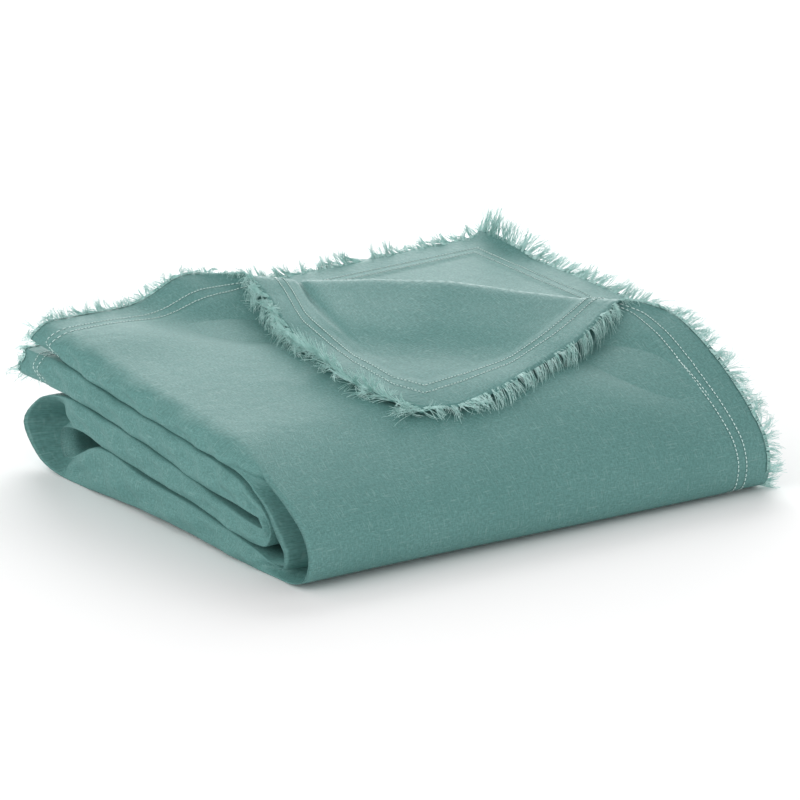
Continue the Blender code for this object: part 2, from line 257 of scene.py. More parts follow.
SWELLS: tuple[Swell, ...] = (
    Swell(26.8, 0.0, 2.6, 4.0, 0.0, 1.0),
    Swell(26.4, 6.6, 3.0, 6.0, 47.0, -0.95),
    Swell(6.0, 25.5, 2.8, 5.5, 47.0, -0.85),
    Swell(17.0, 16.0, 3.0, 9.0, 47.0, -0.35),
    Swell(0.0, 10.0, 2.3, 6.5, 0.0, 0.60),
    Swell(30.0, 14.0, 5.0, 7.0, 20.0, 0.10),
    Swell(24.0, 24.0, 6.0, 4.0, -15.0, -0.10),
    Swell(12.0, 27.0, 8.0, 3.5, 10.0, 0.12),
    Swell(10.0, 2.0, 6.0, 4.5, 0.0, 0.31),
    Swell(17.5, 4.2, 5.0, 0.34, 0.0, -0.38),
    Swell(33.0, 6.0, 3.5, 3.0, 0.0, 0.14),
    Swell(30.5, 17.5, 0.45, 2.4, 52.0, 0.05),
    Swell(28.0, 20.5, 0.4, 1.8, 60.0, -0.04),
    Swell(6.0, 31.0, 4.0, 3.0, 0.0, -0.10),
    Swell(27.0, 33.0, 9.0, 3.0, 5.0, 0.10),
)


@dataclass(frozen=True)
class FoldedSheet:
    """The sheet carried round its folds.

    Distances are in centimetres; an angle is in degrees.

    Attributes:
        width: Side of the opened sheet that the left and right folds divide.
        length: Its other side, which the front and back folds divide.
        parcel_width: Width of the parcel.
        centre_y: Depth at which the origin lies, from the front station.
        floor_gap: Least height of the sheet's middle surface.
        section_points: Points round each side fold.
        inner_inset, inner_depth: Place and depth of the left side's inner fold.
        right_inset, right_depth: Place and depth of the right side's fold.
        sheet_spread: Sheet distance that one whole share of the layers takes up.
        mean_roll: Rounding of the left fold that the sheet distances allow for.
        pocket_power: How much the pushed-in part of a fold keeps to its middle.
        pocket_tightening, full_pocket: How far a pocket that deep draws its fold in.
        ripple: How far each wave of the left side goes in and out.
        turn_back_x, turn_right_run: Where the crease meets the back and right edges.
        top_pass_end: Distance along the sheet within which its corner can turn.
        turn_start, turn_end, turn_step: Reach and steps of the turned corner's curve.
        drift_start: Where past the crease the flap starts to move along it.
        slip_start, slip_end: Where the flap starts and has ended its extra reach.
        tip_tuck, tuck_start, tuck_reach: How far the flap's tip is pushed on, and where.
        curl_depth, curl_angle: Width and full angle of the second layer's curled edge.
        curl_peak, curl_end: Where along the edge it curls most, and where it ends.
        curl_strengths: Share of the curl at the corner, at the peak and at the end.
        probe: Step at which directions on the sheet are measured.
    """

    width: float = SHEET_WIDTH
    length: float = SHEET_LENGTH
    parcel_width: float = PARCEL_WIDTH
    centre_y: float = 14.6
    floor_gap: float = 0.06
    section_points: int = 49
    inner_inset: float = 1.3
    inner_depth: float = 0.3
    right_inset: float = 0.6
    right_depth: float = 0.5
    sheet_spread: float = 1.8
    mean_roll: float = 0.75
    pocket_power: float = 1.5
    pocket_tightening: float = 0.55
    full_pocket: float = 1.5
    ripple: float = 0.17
    turn_back_x: float = 12.5
    turn_right_run: float = 23.0
    top_pass_end: float = 33.0
    turn_start: float = -6.0
    turn_end: float = 20.0
    turn_step: float = 0.05
    drift_start: float = -1.5
    slip_start: float = 1.2
    slip_end: float = 6.0
    tip_tuck: float = 1.0
    tuck_start: float = 14.6
    tuck_reach: float = 3.0
    curl_depth: float = 1.5
    curl_angle: float = 62.0
    curl_peak: float = 1.3
    curl_end: float = 6.0
    curl_strengths: tuple[float, float, float] = (0.35, 1.0, 0.0)
    probe: float = 0.08

    @cached_property
    def section(self) -> Array:
        """The strip cut across: x, share from outer to inner layer, pocket and roll shares.

        Each side fold is a half turn t from -90 to 90 degrees: x runs as 1 - cos t and
        the share as (1 + sin t) / 2. A fold takes up one third of the layers' share,
        but the outer one, round all four layers, takes up the whole.

        Returns:
            A row per point, from the top layer's free edge to the second layer's.
        """
        turn = np.linspace(-np.pi / 2, np.pi / 2, self.section_points)
        still = np.zeros_like(turn)
        rounding = 1.0 - np.cos(turn)
        half = (1.0 + np.sin(turn)) / 2
        right_x = self.parcel_width - self.right_inset - self.right_depth * rounding
        inner_x = self.inner_inset + self.inner_depth * rounding
        outer = np.stack([still, half, np.abs(np.cos(turn)) ** self.pocket_power, rounding], 1)
        right = np.stack([right_x, 1.0 - half / 3, still, still], 1)
        inner = np.stack([inner_x, 2 / 3 - half / 3, still + 1.0, still], 1)
        start = [[self.parcel_width, 0.0, 0.0, 0.0]]
        end = [[self.parcel_width, 1 / 3, 0.0, 0.0]]
        return np.vstack([start, outer, right, inner, end])

    @cached_property
    def across_marks(self) -> Array:
        """Where the section's points lie on the opened sheet.

        Returns:
            Distance across it of each point.
        """
        x = self.section[:, 0] + self.mean_roll * self.section[:, 3]
        steps = np.hypot(np.diff(x), self.sheet_spread * np.diff(self.section[:, 1]))
        return np.concatenate([[0.0], np.cumsum(steps)]) * self.width / steps.sum()

    @cached_property
    def run_marks(self) -> Array:
        """Where each run and fold of the strip starts and ends.

        Returns:
            Eight distances across the sheet.
        """
        count = self.section_points
        ends = [0, 1, count, count + 1, 2 * count, 2 * count + 1, 3 * count, -1]
        return self.across_marks[ends]

    @cached_property
    def places(self) -> Array:
        """The station table's places, a row per station."""
        return np.array([row[1:9] for row in STATIONS])

    @cached_property
    def along_marks(self) -> Array:
        """Where the stations lie on the opened sheet.

        Returns:
            Distance along it of each station, midway between its two layers.
        """
        middle = (self.places[:, 0:2] + self.places[:, 2:4]) / 2
        steps = np.linalg.norm(np.diff(middle, axis=0), axis=1)
        return np.concatenate([[0.0], np.cumsum(steps)]) * self.length / steps.sum()

    @cached_property
    def top_scale(self) -> float:
        """Sheet distance per distance of x on the top layer's run."""
        return (self.across_marks[1] - self.across_marks[0]) / self.parcel_width

    @cached_property
    def crease(self) -> tuple[Array, Array, Array]:
        """The turned corner's crease on the opened sheet.

        Returns:
            Its start, its direction, and the way past it, square to the direction.
        """
        start = np.array([self.turn_back_x, 0.0])
        line = np.array([self.parcel_width, self.turn_right_run]) - start
        line /= np.linalg.norm(line)
        return start, line, np.array([line[1], -line[0]])

    @cached_property
    def turn_curve(self) -> tuple[Array, Array, Array]:
        """The turned corner's curve across its crease.

        Reach and rise are the running sums of cos and sin of the heading.

        Returns:
            Distance along the sheet, reach in plan, and rise.
        """
        distance = np.arange(self.turn_start, self.turn_end, self.turn_step)
        heading = np.interp(distance, [t.distance for t in TURNS], [t.heading for t in TURNS])
        heading = np.radians(heading)
        reach = self.turn_start + self.turn_step * np.cumsum(np.cos(heading))
        rise = self.turn_step * np.cumsum(np.sin(heading))
        return distance, reach, rise

    def path(self, along: Array) -> Array:
        """Smooth curve through the stations, straight past both ends.

        A cubic between neighbouring rows whose slopes are the weighted mean of the
        slopes on either side.

        Args:
            along: Distances along the sheet.

        Returns:
            The eight place columns at each distance.
        """
        marks, values = self.along_marks, self.places
        widths = np.diff(marks)
        slopes = np.diff(values, axis=0) / widths[:, None]
        tangents = np.vstack([slopes[:1], slopes])
        near = slopes[:-1] * widths[1:, None] + slopes[1:] * widths[:-1, None]
        tangents[1:-1] = near / (widths[1:] + widths[:-1])[:, None]
        index = np.clip(np.searchsorted(marks, along, side="right") - 1, 0, len(widths) - 1)
        width = widths[index][:, None]
        share = (along - marks[index])[:, None] / width
        inside = np.clip(share, 0.0, 1.0)
        square, cube = inside**2, inside**3
        curve = (2 * cube - 3 * square + 1) * values[index]
        curve += (3 * square - 2 * cube) * values[index + 1]
        curve += (cube - 2 * square + inside) * tangents[index] * width
        curve += (cube - square) * tangents[index + 1] * width
        end_slope = np.where(share > 1.0, tangents[index + 1], tangents[index])
        return curve + (share - inside) * width * end_slope

    def strip(self, across: Array, along: Array) -> Array:
        """Folded place of points of the opened sheet, before the corner is turned.

        Each point lies between the outer and the inner path by its share, and between
        their left and right ends by its x. The left side waves in and out by a sum
        of sines.

        Args:
            across: Distances across the sheet.
            along: Distances along it.

        Returns:
            Places, in centimetres, a row per point.
        """
        over = np.maximum(-across, 0.0) + np.maximum(across - self.width, 0.0)
        columns = [np.interp(across, self.across_marks, column) for column in self.section.T]
        x, share, pocket_share, roll_share = columns
        pocket = np.interp(along, self.along_marks, [row.pocket for row in STATIONS])
        outer_roll = np.interp(along, self.along_marks, [ROLLS[row.part].outer for row in STATIONS])
        inner_roll = np.interp(along, self.along_marks, [ROLLS[row.part].inner for row in STATIONS])
        roll = np.where(share < 0.5, outer_roll, inner_roll)
        roll = roll * (1.0 - self.pocket_tightening * np.clip(pocket / self.full_pocket, 0.0, 1.0))
        waves = sum(np.sin(row.rate * along + row.slant * share + row.phase) for row in RIPPLES)
        x = x + over + roll * roll_share + (pocket + self.ripple * waves) * pocket_share
        rows = self.path(along)
        right = (x / self.parcel_width)[:, None]
        outer = rows[:, 0:2] * (1 - right) + rows[:, 4:6] * right
        inner = rows[:, 2:4] * (1 - right) + rows[:, 6:8] * right
        outer[:, 1] = np.maximum(outer[:, 1], self.floor_gap)
        return np.column_stack([x, outer + (inner - outer) * share[:, None]])

    def turned(self, across: Array, along: Array) -> Array:
        """Folded place with the top layer's corner turned back over its crease.

        A point past the crease lands at a new place of the flat top layer, the turned
        curve's reach away, is folded from there, and is lifted by the curve's rise.

        Args:
            across: Distances across the sheet.
            along: Distances along it.

        Returns:
            Places, in centimetres, a row per point.
        """
        start, line, past_way = self.crease
        x = self.parcel_width - across / np.where(across < 0, 1.0, self.top_scale)
        offset = np.column_stack([x, along]) - start
        down = offset @ line
        marks = [b.along for b in BOWS]
        bow = np.interp(down, marks, [b.shift for b in BOWS])
        height = np.interp(down, marks, [b.height for b in BOWS])
        slip = np.interp(down, marks, [b.slip for b in BOWS])
        drift = np.interp(down, marks, [b.drift for b in BOWS])
        past = offset @ past_way - bow
        on_corner = (across < self.run_marks[1]) & (along < self.top_pass_end)
        on_corner &= past > self.turn_start
        distance, reach, rise = self.turn_curve
        over = ease((past - self.drift_start) / (self.slip_start - self.drift_start))
        landed = start + (down + drift * over)[:, None] * line
        slack = ease((past - self.slip_start) / (self.slip_end - self.slip_start))
        tuck = self.tip_tuck * ease((past - self.tuck_start) / self.tuck_reach)
        gone = np.interp(past, distance, reach) + bow + slip * slack + tuck
        landed = landed + gone[:, None] * past_way
        beyond = self.parcel_width - landed[:, 0]
        landed_across = np.where(beyond < 0, beyond, beyond * self.top_scale)
        points = self.strip(
            np.where(on_corner, landed_across, across), np.where(on_corner, landed[:, 1], along)
        )
        points[:, 2] += np.where(on_corner, height * np.interp(past, distance, rise), 0.0)
        return points

    def swell(self, across: Array, along: Array) -> Array:
        """Height of the soft rises: the sum of rise * exp(-a^2 - b^2) over the table.

        Args:
            across: Distances across the sheet.
            along: Distances along it.

        Returns:
            A height per point.
        """
        total = np.zeros_like(across)
        for row in SWELLS:
            cosine, sine = math.cos(math.radians(row.turn)), math.sin(math.radians(row.turn))
            a, b = across - row.across, along - row.along
            first = (a * cosine + b * sine) / row.reach_across
            second = (b * cosine - a * sine) / row.reach_along
            total += row.rise * np.exp(-(first**2) - second**2)
        return total

    def curl(self, points: Array, across: Array, along: Array) -> None:
        """Curl up the second layer's back corner.

        Past the start of the curl the strip follows a circle: x grows by sin(a) / k
        and z by (1 - cos(a)) / k, with a = k * distance, then goes straight on.

        Args:
            points: Folded places, changed in place.
            across: Distances across the sheet.
            along: Distances along it.
        """
        distance = np.maximum(across - (self.width - self.curl_depth), 0.0)
        strength = np.interp(along, (0.0, self.curl_peak, self.curl_end), self.curl_strengths)
        bend = np.radians(self.curl_angle) * np.sqrt(strength) / self.curl_depth + TINY
        round_part = np.minimum(distance, self.curl_depth)
        straight = distance - round_part
        angle = bend * round_part
        points[:, 0] += np.sin(angle) / bend - round_part + straight * (np.cos(angle) - 1.0)
        points[:, 2] += (1.0 - np.cos(angle)) / bend + straight * np.sin(angle)

    def point(self, across: Array, along: Array) -> Array:
        """Finished place of points of the opened sheet.

        Args:
            across: Distances across the sheet.
            along: Distances along it.

        Returns:
            Places, in centimetres, a row per point, about the parcel's middle.
        """
        points = self.turned(across, along)
        self.curl(points, across, along)
        points[:, 2] += self.swell(across, along)
        points[:, 2] = np.maximum(points[:, 2], self.floor_gap)
        return points - np.array([self.parcel_width / 2, self.centre_y, 0.0])

    def point_and_normal(self, across: Array, along: Array) -> tuple[Array, Array]:
        """Place and face normal at each point.

        Args:
            across: Distances across the sheet.
            along: Distances along it.

        Returns:
            Places, in centimetres, and unit normals off the sheet's upper face.
        """
        step = self.probe
        cross_way = unit(self.point(across + step, along) - self.point(across - step, along))
        along_way = unit(self.point(across, along + step) - self.point(across, along - step))
        return self.point(across, along), unit(np.cross(cross_way, along_way))


def unit(vectors: Array) -> Array:
    """Vectors at length one."""
    return vectors / np.maximum(np.linalg.norm(vectors, axis=-1, keepdims=True), TINY)


def ease(share: Array) -> Array:
    """Smooth step from nought to one: 3 s^2 - 2 s^3."""
    share = np.clip(share, 0.0, 1.0)
    return share * share * (3 - 2 * share)


# ---------------------------------------------------------------- meshes


def grid_faces(rows: int, columns: int) -> Whole:
    """Corner numbers of the faces of a grid of points, row by row."""
    first = (np.arange(rows - 1)[:, None] * columns + np.arange(columns - 1)[None, :]).ravel()
    return np.stack([first, first + 1, first + columns + 1, first + columns], 1)


def mesh_object(
    name: str, points: Array, faces: Whole, flat: Array | None = None
) -> bpy.types.Object:
    """A mesh object at the origin, smooth-shaded where it is a sheet.

    Args:
        name: Name of the piece.
        points: Places in centimetres.
        faces: Corner numbers, a row per face.
        flat: Place of each point on the opened sheet in centimetres, kept as the UV
            map; none for threads.

    Returns:
        The new object, linked to the scene.
    """
    mesh = bpy.data.meshes.new(name)
    sides = faces.shape[1]
    mesh.vertices.add(len(points))
    mesh.vertices.foreach_set("co", (points * CM).astype(np.float32).ravel())
    mesh.loops.add(faces.size)
    mesh.loops.foreach_set("vertex_index", faces.ravel().astype(np.int32))
    mesh.polygons.add(len(faces))
    mesh.polygons.foreach_set("loop_start", np.arange(0, faces.size, sides, dtype=np.int32))
    mesh.update(calc_edges=True)
    mesh.polygons.foreach_set("use_smooth", np.full(len(faces), flat is not None))
    if flat is not None:
        layer = mesh.uv_layers.new(name="flat")
        layer.data.foreach_set("uv", (flat[faces.ravel()] * CM).astype(np.float32).ravel())
    mesh.validate()
    item = bpy.data.objects.new(name, mesh)
    bpy.context.scene.collection.objects.link(item)
    return item


def threads(paths: Array, radii: Array, sides: int) -> tuple[Array, Whole]:
    """Round threads along many paths at once.

    Each ring is path + radius * (cos t * side + sin t * up), with side and up square
    to the thread's own direction.

    Args:
        paths: Thread centre lines, (threads, points, 3), in centimetres.
        radii: Radius at each point, (threads, points).
        sides: Corners round each thread.

    Returns:
        Points and four-cornered faces.
    """
    count, length, _ = paths.shape
    ahead = unit(np.gradient(paths, axis=1))
    helper = np.where(np.abs(ahead[..., 2:3]) > UPRIGHT, [1.0, 0.0, 0.0], [0.0, 0.0, 1.0])
    side = unit(np.cross(ahead, helper))
    up = np.cross(side, ahead)
    angle = np.arange(sides) * 2 * np.pi / sides
    ring = np.cos(angle)[:, None] * side[:, :, None, :] + np.sin(angle)[:, None] * up[:, :, None, :]
    points = paths[:, :, None, :] + radii[:, :, None, None] * ring
    corner = np.arange(sides)
    step = np.arange(length - 1)
    base = (step[:, None] * sides + corner[None, :]).ravel()
    turned = (step[:, None] * sides + (corner[None, :] + 1) % sides).ravel()
    quad = np.stack([base, base + sides, turned + sides, turned], 1)
    first = np.arange(count)[:, None, None] * (length * sides)
    return points.reshape(-1, 3), (first + quad[None]).reshape(-1, 4)


# ---------------------------------------------------------------- finishes


Colour = tuple[float, float, float, float]
Socket = bpy.types.NodeSocket


@dataclass(frozen=True)
class NodeBench:
    """Short ways to add nodes to a node tree."""

    tree: bpy.types.NodeTree

    def streaks(self, source: Socket, scale: tuple[float, float, float], detail: float) -> Socket:
        """Noise stretched by a scale along each axis.

        Args:
            source: The coordinates.
            scale: Patches per metre along each axis.
            detail: Octaves of finer noise.

        Returns:
            The noise, about 0.5.
        """
        mapping = self.tree.nodes.new("ShaderNodeMapping")
        mapping.inputs["Scale"].default_value = scale
        noise = self.tree.nodes.new("ShaderNodeTexNoise")
        noise.inputs["Scale"].default_value = 1.0
        noise.inputs["Detail"].default_value = detail
        self.tree.links.new(source, mapping.inputs["Vector"])
        self.tree.links.new(mapping.outputs["Vector"], noise.inputs["Vector"])
        return noise.outputs["Fac"]

    def maths(self, kind: str, first: Socket | float, second: Socket | float) -> Socket:
        """One step of arithmetic.

        Args:
            kind: Name of the operation.
            first: Its first value, a socket or a number.
            second: Its second value.

        Returns:
            The result.
        """
        node = self.tree.nodes.new("ShaderNodeMath")
        node.operation = kind
        for slot, value in zip(node.inputs, (first, second)):
            if isinstance(value, (int, float)):
                slot.default_value = value
            else:
                self.tree.links.new(value, slot)
        return node.outputs[0]

    def lift(self, value: Socket, low: float, high: float) -> Socket:
        """Values from low to high spread over nought to one.

        Args:
            value: The values.
            low: What becomes nought.
            high: What becomes one; it may be the lower of the two.

        Returns:
            The spread values, held within nought and one.
        """
        node = self.tree.nodes.new("ShaderNodeMapRange")
        node.inputs["From Min"].default_value = low
        node.inputs["From Max"].default_value = high
        self.tree.links.new(value, node.inputs["Value"])
        return node.outputs["Result"]

    def blend(self, factor: Socket, first: Socket | Colour, second: Socket | Colour) -> Socket:
        """Mix of two colours.

        Args:
            factor: Share of the second colour.
            first: A socket or a colour.
            second: A socket or a colour.

        Returns:
            The mixed colour.
        """
        node = self.tree.nodes.new("ShaderNodeMix")
        node.data_type = "RGBA"
        self.tree.links.new(factor, node.inputs["Factor"])
        for name, value in (("A", first), ("B", second)):
            if isinstance(value, tuple):
                node.inputs[name].default_value = value
            else:
                self.tree.links.new(value, node.inputs[name])
        return node.outputs["Result"]

    def patches(self, source: Socket, size: float, detail: float) -> Socket:
        """Noise in round patches of a size, in metres, on a flat map."""
        return self.streaks(source, (1 / size, 1 / size, 1.0), detail)


@dataclass(frozen=True)
class FlatGroup:
    """A shader node group that takes a place on the flat sheet and gives values."""

    name: str

    def group(self) -> bpy.types.ShaderNodeTree:
        """Make the group, with an input Vector and one output for each value.

        Returns:
            The new group.
        """
        tree = bpy.data.node_groups.new(self.name, "ShaderNodeTree")
        tree.interface.new_socket("Vector", in_out="INPUT", socket_type="NodeSocketVector")
        flat = tree.nodes.new("NodeGroupInput").outputs["Vector"]
        sink = tree.nodes.new("NodeGroupOutput")
        for name, socket in self.values(NodeBench(tree), flat).items():
            tree.interface.new_socket(name, in_out="OUTPUT", socket_type="NodeSocketFloat")
            tree.links.new(socket, sink.inputs[name])
        return tree

    def values(self, bench: NodeBench, flat: Socket) -> dict[str, Socket]:
        """The group's outputs by name, worked out from the flat place in metres."""
        raise NotImplementedError

    def use(self, tree: bpy.types.ShaderNodeTree, flat: Socket) -> bpy.types.Node:
        """Put the group into a material.

        Args:
            tree: The material's nodes.
            flat: The place on the flat sheet.

        Returns:
            The group's node, with its outputs by name.
        """
        node = tree.nodes.new("ShaderNodeGroup")
        node.node_tree = self.group()
        tree.links.new(flat, node.inputs["Vector"])
        return node


@dataclass(frozen=True)
class Weave(FlatGroup):
    """The linen's weave: uneven threads both ways, slubs and soft mottling.

    Sizes are in metres. A ``range`` is the part of a noise's values that is spread
    over nought to one.
    """

    name: str = "linen_weave"
    thread_width: float = 0.0008
    thread_length: float = 0.0024
    thread_detail: float = 1.0
    thread_range: tuple[float, float] = (0.72, 1.28)
    slub_width: float = 0.0009
    slub_length: float = 0.009
    slub_range: tuple[float, float] = (0.66, 0.80)
    patch: float = 0.05
    patch_detail: float = 5.0

    def both_ways(
        self, bench: NodeBench, flat: Socket, size: tuple[float, float], detail: float
    ) -> list[Socket]:
        """Streaks along the warp and along the weft.

        Args:
            bench: The group's nodes.
            flat: The place on the flat sheet.
            size: Width and length of a streak.
            detail: Octaves of finer noise.

        Returns:
            The warp's noise and the weft's.
        """
        fine, long = 1 / size[0], 1 / size[1]
        warp = bench.streaks(flat, (fine, long, 1.0), detail)
        return [warp, bench.streaks(flat, (long, fine, 1.0), detail)]

    def values(self, bench: NodeBench, flat: Socket) -> dict[str, Socket]:
        """Outputs Height, Thread, Slub and Mottle.

        Height is the sum of the warp's and the weft's noise, and Thread is the same
        spread over nought to one. Slub is the greater of both ways' slubs.

        Args:
            bench: The group's nodes.
            flat: The place on the flat sheet.

        Returns:
            The outputs by name.
        """
        thread = (self.thread_width, self.thread_length)
        height = bench.maths("ADD", *self.both_ways(bench, flat, thread, self.thread_detail))
        slub = self.both_ways(bench, flat, (self.slub_width, self.slub_length), 0.0)
        return {
            "Height": height,
            "Thread": bench.lift(height, *self.thread_range),
            "Slub": bench.maths("MAXIMUM", *(bench.lift(way, *self.slub_range) for way in slub)),
            "Mottle": bench.patches(flat, self.patch, self.patch_detail),
        }


@dataclass(frozen=True)
class HemRelief(FlatGroup):
    """The sewn hem's fine relief: grooves along the stitches, and puckers.

    Sizes are in metres.

    Attributes:
        sides: Sides of the opened sheet.
        rows: Distance of each row of stitches from the edge.
        puckered: Distances from the edge where puckers begin and are full.
        row_half, row_depth: Half width and depth of a row's groove.
        pucker, pucker_depth, pucker_detail: Size, depth and fineness of the puckers.
    """

    name: str = "hem_relief"
    sides: tuple[float, float] = (SHEET_WIDTH * CM, SHEET_LENGTH * CM)
    rows: tuple[float, float] = (STITCH_ROWS[0] * CM, STITCH_ROWS[1] * CM)
    puckered: tuple[float, float] = (HEM_DEPTH * CM + 0.004, HEM_DEPTH * CM - 0.002)
    row_half: float = 0.0011
    row_depth: float = 0.0005
    pucker: float = 0.0035
    pucker_depth: float = 0.0005
    pucker_detail: float = 2.0

    def values(self, bench: NodeBench, flat: Socket) -> dict[str, Socket]:
        """Outputs Height and Line.

        The distance d from the nearest edge is the least of u, width - u, v and
        length - v. Line is the sum of 1 - |d - row| / half, or nought outside, over the
        rows, and Height is less by the grooves' depth there. The linen also darkens its
        colour by Line, as painted shade in the grooves.

        Args:
            bench: The group's nodes.
            flat: The place on the flat sheet.

        Returns:
            The outputs by name.
        """
        split = bench.tree.nodes.new("ShaderNodeSeparateXYZ")
        bench.tree.links.new(flat, split.inputs["Vector"])
        near = [
            bench.maths("MINIMUM", place, bench.maths("SUBTRACT", side, place))
            for place, side in zip((split.outputs["X"], split.outputs["Y"]), self.sides)
        ]
        edge = bench.maths("MINIMUM", *near)
        grooves = []
        for row in self.rows:
            off = bench.maths("ABSOLUTE", bench.maths("SUBTRACT", edge, row), 0.0)
            share = bench.maths("SUBTRACT", 1.0, bench.maths("DIVIDE", off, self.row_half))
            grooves.append(bench.maths("MAXIMUM", share, 0.0))
        line = bench.maths("ADD", *grooves)
        pucker = bench.patches(flat, self.pucker, self.pucker_detail)
        in_hem = bench.lift(edge, *self.puckered)
        puckers = bench.maths("MULTIPLY", bench.maths("MULTIPLY", pucker, in_hem), self.pucker_depth)
        sunk = bench.maths("MULTIPLY", line, -self.row_depth)
        return {"Height": bench.maths("ADD", sunk, puckers), "Line": line}


@dataclass(frozen=True)
class Linen:
    """Matt woven linen.

    Attributes:
        name: Name of the material.
        deep, light: Colours that the cloth's mottling lies between.
        slub: Colour of the thick places in the yarn.
        shade: Colour between the threads; painted shade in the grooves of the stitches.
            thread_contrast, slub_strength, groove_shade_strength: How much of each shows.
        roughness, specular: How matt the cloth is.
        weave_depth: Height of the threads, in metres.
        dent_size, dent_depth, dent_detail: Size, depth and fineness of soft dents.
    """

    name: str
    deep: Colour
    light: Colour
    slub: Colour
    shade: Colour
    thread_contrast: float = 0.66
    slub_strength: float = 0.20
    groove_shade_strength: float = 0.18
    roughness: float = 0.6
    specular: float = 0.3
    weave_depth: float = 0.00010
    dent_size: float = 0.012
    dent_depth: float = 0.0006
    dent_detail: float = 3.0

    def material(self) -> bpy.types.Material:
        """Make the finish, which reads the flat UV map.

        Returns:
            The material.
        """
        finish = bpy.data.materials.new(self.name)
        finish.use_nodes = True
        tree = finish.node_tree
        bench = NodeBench(tree)
        principled = tree.nodes["Principled BSDF"]
        principled.inputs["Roughness"].default_value = self.roughness
        principled.inputs["Specular IOR Level"].default_value = self.specular
        uv = tree.nodes.new("ShaderNodeUVMap")
        uv.uv_map = "flat"
        flat = uv.outputs["UV"]
        weave, hem = Weave().use(tree, flat), HemRelief().use(tree, flat)
        tree.links.new(self.colour(bench, weave, hem), principled.inputs["Base Color"])
        tree.links.new(self.normal(bench, flat, weave, hem), principled.inputs["Normal"])
        return finish

    def colour(self, bench: NodeBench, weave: bpy.types.Node, hem: bpy.types.Node) -> Socket:
        """Mottled cloth, darker between its threads, with slubs, and painted shade in the
        grooves along the rows of stitches.

        Args:
            bench: The material's nodes.
            weave: The weave's group.
            hem: The hem's group.

        Returns:
            The colour.
        """
        tone = bench.blend(weave.outputs["Mottle"], self.deep, self.light)
        depth = bench.maths("MULTIPLY", weave.outputs["Thread"], self.thread_contrast)
        gaps = bench.maths("SUBTRACT", self.thread_contrast, depth)
        woven = bench.blend(gaps, tone, self.shade)
        slubs = bench.maths("MULTIPLY", weave.outputs["Slub"], self.slub_strength)
        slubbed = bench.blend(slubs, woven, self.slub)
        # Painted shade: the grooves along the rows of stitches are darkened in the colour.
        sewn = bench.maths("MULTIPLY", hem.outputs["Line"], self.groove_shade_strength)
        return bench.blend(sewn, slubbed, self.shade)

    def normal(
        self, bench: NodeBench, flat: Socket, weave: bpy.types.Node, hem: bpy.types.Node
    ) -> Socket:
        """Relief of the threads, the dents and the hem, whose heights are in metres.

        Args:
            bench: The material's nodes.
            flat: The place on the flat sheet.
            weave: The weave's group.
            hem: The hem's group.

        Returns:
            The normal.
        """
        dents = bench.patches(flat, self.dent_size, self.dent_detail)
        dents = bench.maths("MULTIPLY", dents, self.dent_depth)
        height = bench.maths("MULTIPLY", weave.outputs["Height"], self.weave_depth)
        height = bench.maths("ADD", bench.maths("ADD", height, dents), hem.outputs["Height"])
        bump = bench.tree.nodes.new("ShaderNodeBump")
        bump.inputs["Strength"].default_value = 1.0
        bump.inputs["Distance"].default_value = 1.0
        bench.tree.links.new(height, bump.inputs["Height"])
        return bump.outputs["Normal"]


@dataclass(frozen=True)
class Yarn:
    """Loose linen yarn: a plain colour that wanders from thread to thread.

    Attributes:
        name: Name of the material.
        deep, light: Colours that it wanders between. They are far paler than the cloth,
        as painted light: glints on the stitches, light through the fringe's threads.
        patch: Patches of colour per metre.
        patch_detail, patch_range: Their fineness, and the noise that makes them.
        roughness, specular, sheen: How matt and how downy the yarn is.
    """

    name: str
    deep: Colour
    light: Colour
    patch: float = 260.0
    patch_detail: float = 2.0
    patch_range: tuple[float, float] = (0.3, 0.7)
    roughness: float = 0.85
    specular: float = 0.3
    sheen: float = 0.1

    def material(self) -> bpy.types.Material:
        """Make the finish, which reads Object coordinates.

        Returns:
            The material.
        """
        finish = bpy.data.materials.new(self.name)
        finish.use_nodes = True
        tree = finish.node_tree
        bench = NodeBench(tree)
        principled = tree.nodes["Principled BSDF"]
        principled.inputs["Roughness"].default_value = self.roughness
        principled.inputs["Specular IOR Level"].default_value = self.specular
        principled.inputs["Sheen Weight"].default_value = self.sheen
        place_on = tree.nodes.new("ShaderNodeTexCoord").outputs["Object"]
        patches = bench.streaks(place_on, (self.patch,) * 3, self.patch_detail)
        tone = bench.blend(bench.lift(patches, *self.patch_range), self.deep, self.light)
        tree.links.new(tone, principled.inputs["Base Color"])
        return finish


# ---------------------------------------------------------------- the throw


class Run(NamedTuple):
    """A stretch of the sheet and the spacing of its faces."""

    start: float
    end: float
    spacing: float


def spaced(runs: list[Run]) -> Array:
    """Marks along joined runs, evenly spaced within each.

    Args:
        runs: The runs in order, each starting where the last one ends.

    Returns:
        The marks, both ends included.
    """
    marks = [np.array([runs[0].start])]
    for run in runs:
        count = max(1, round((run.end - run.start) / run.spacing))
        marks.append(np.linspace(run.start, run.end, count + 1)[1:])
    return np.concatenate(marks)


class Ridge(NamedTuple):
    """A ridge beside the hem's inner edge: where it is, its reach, its share of the step."""

    offset: float
    reach: float
    share: float


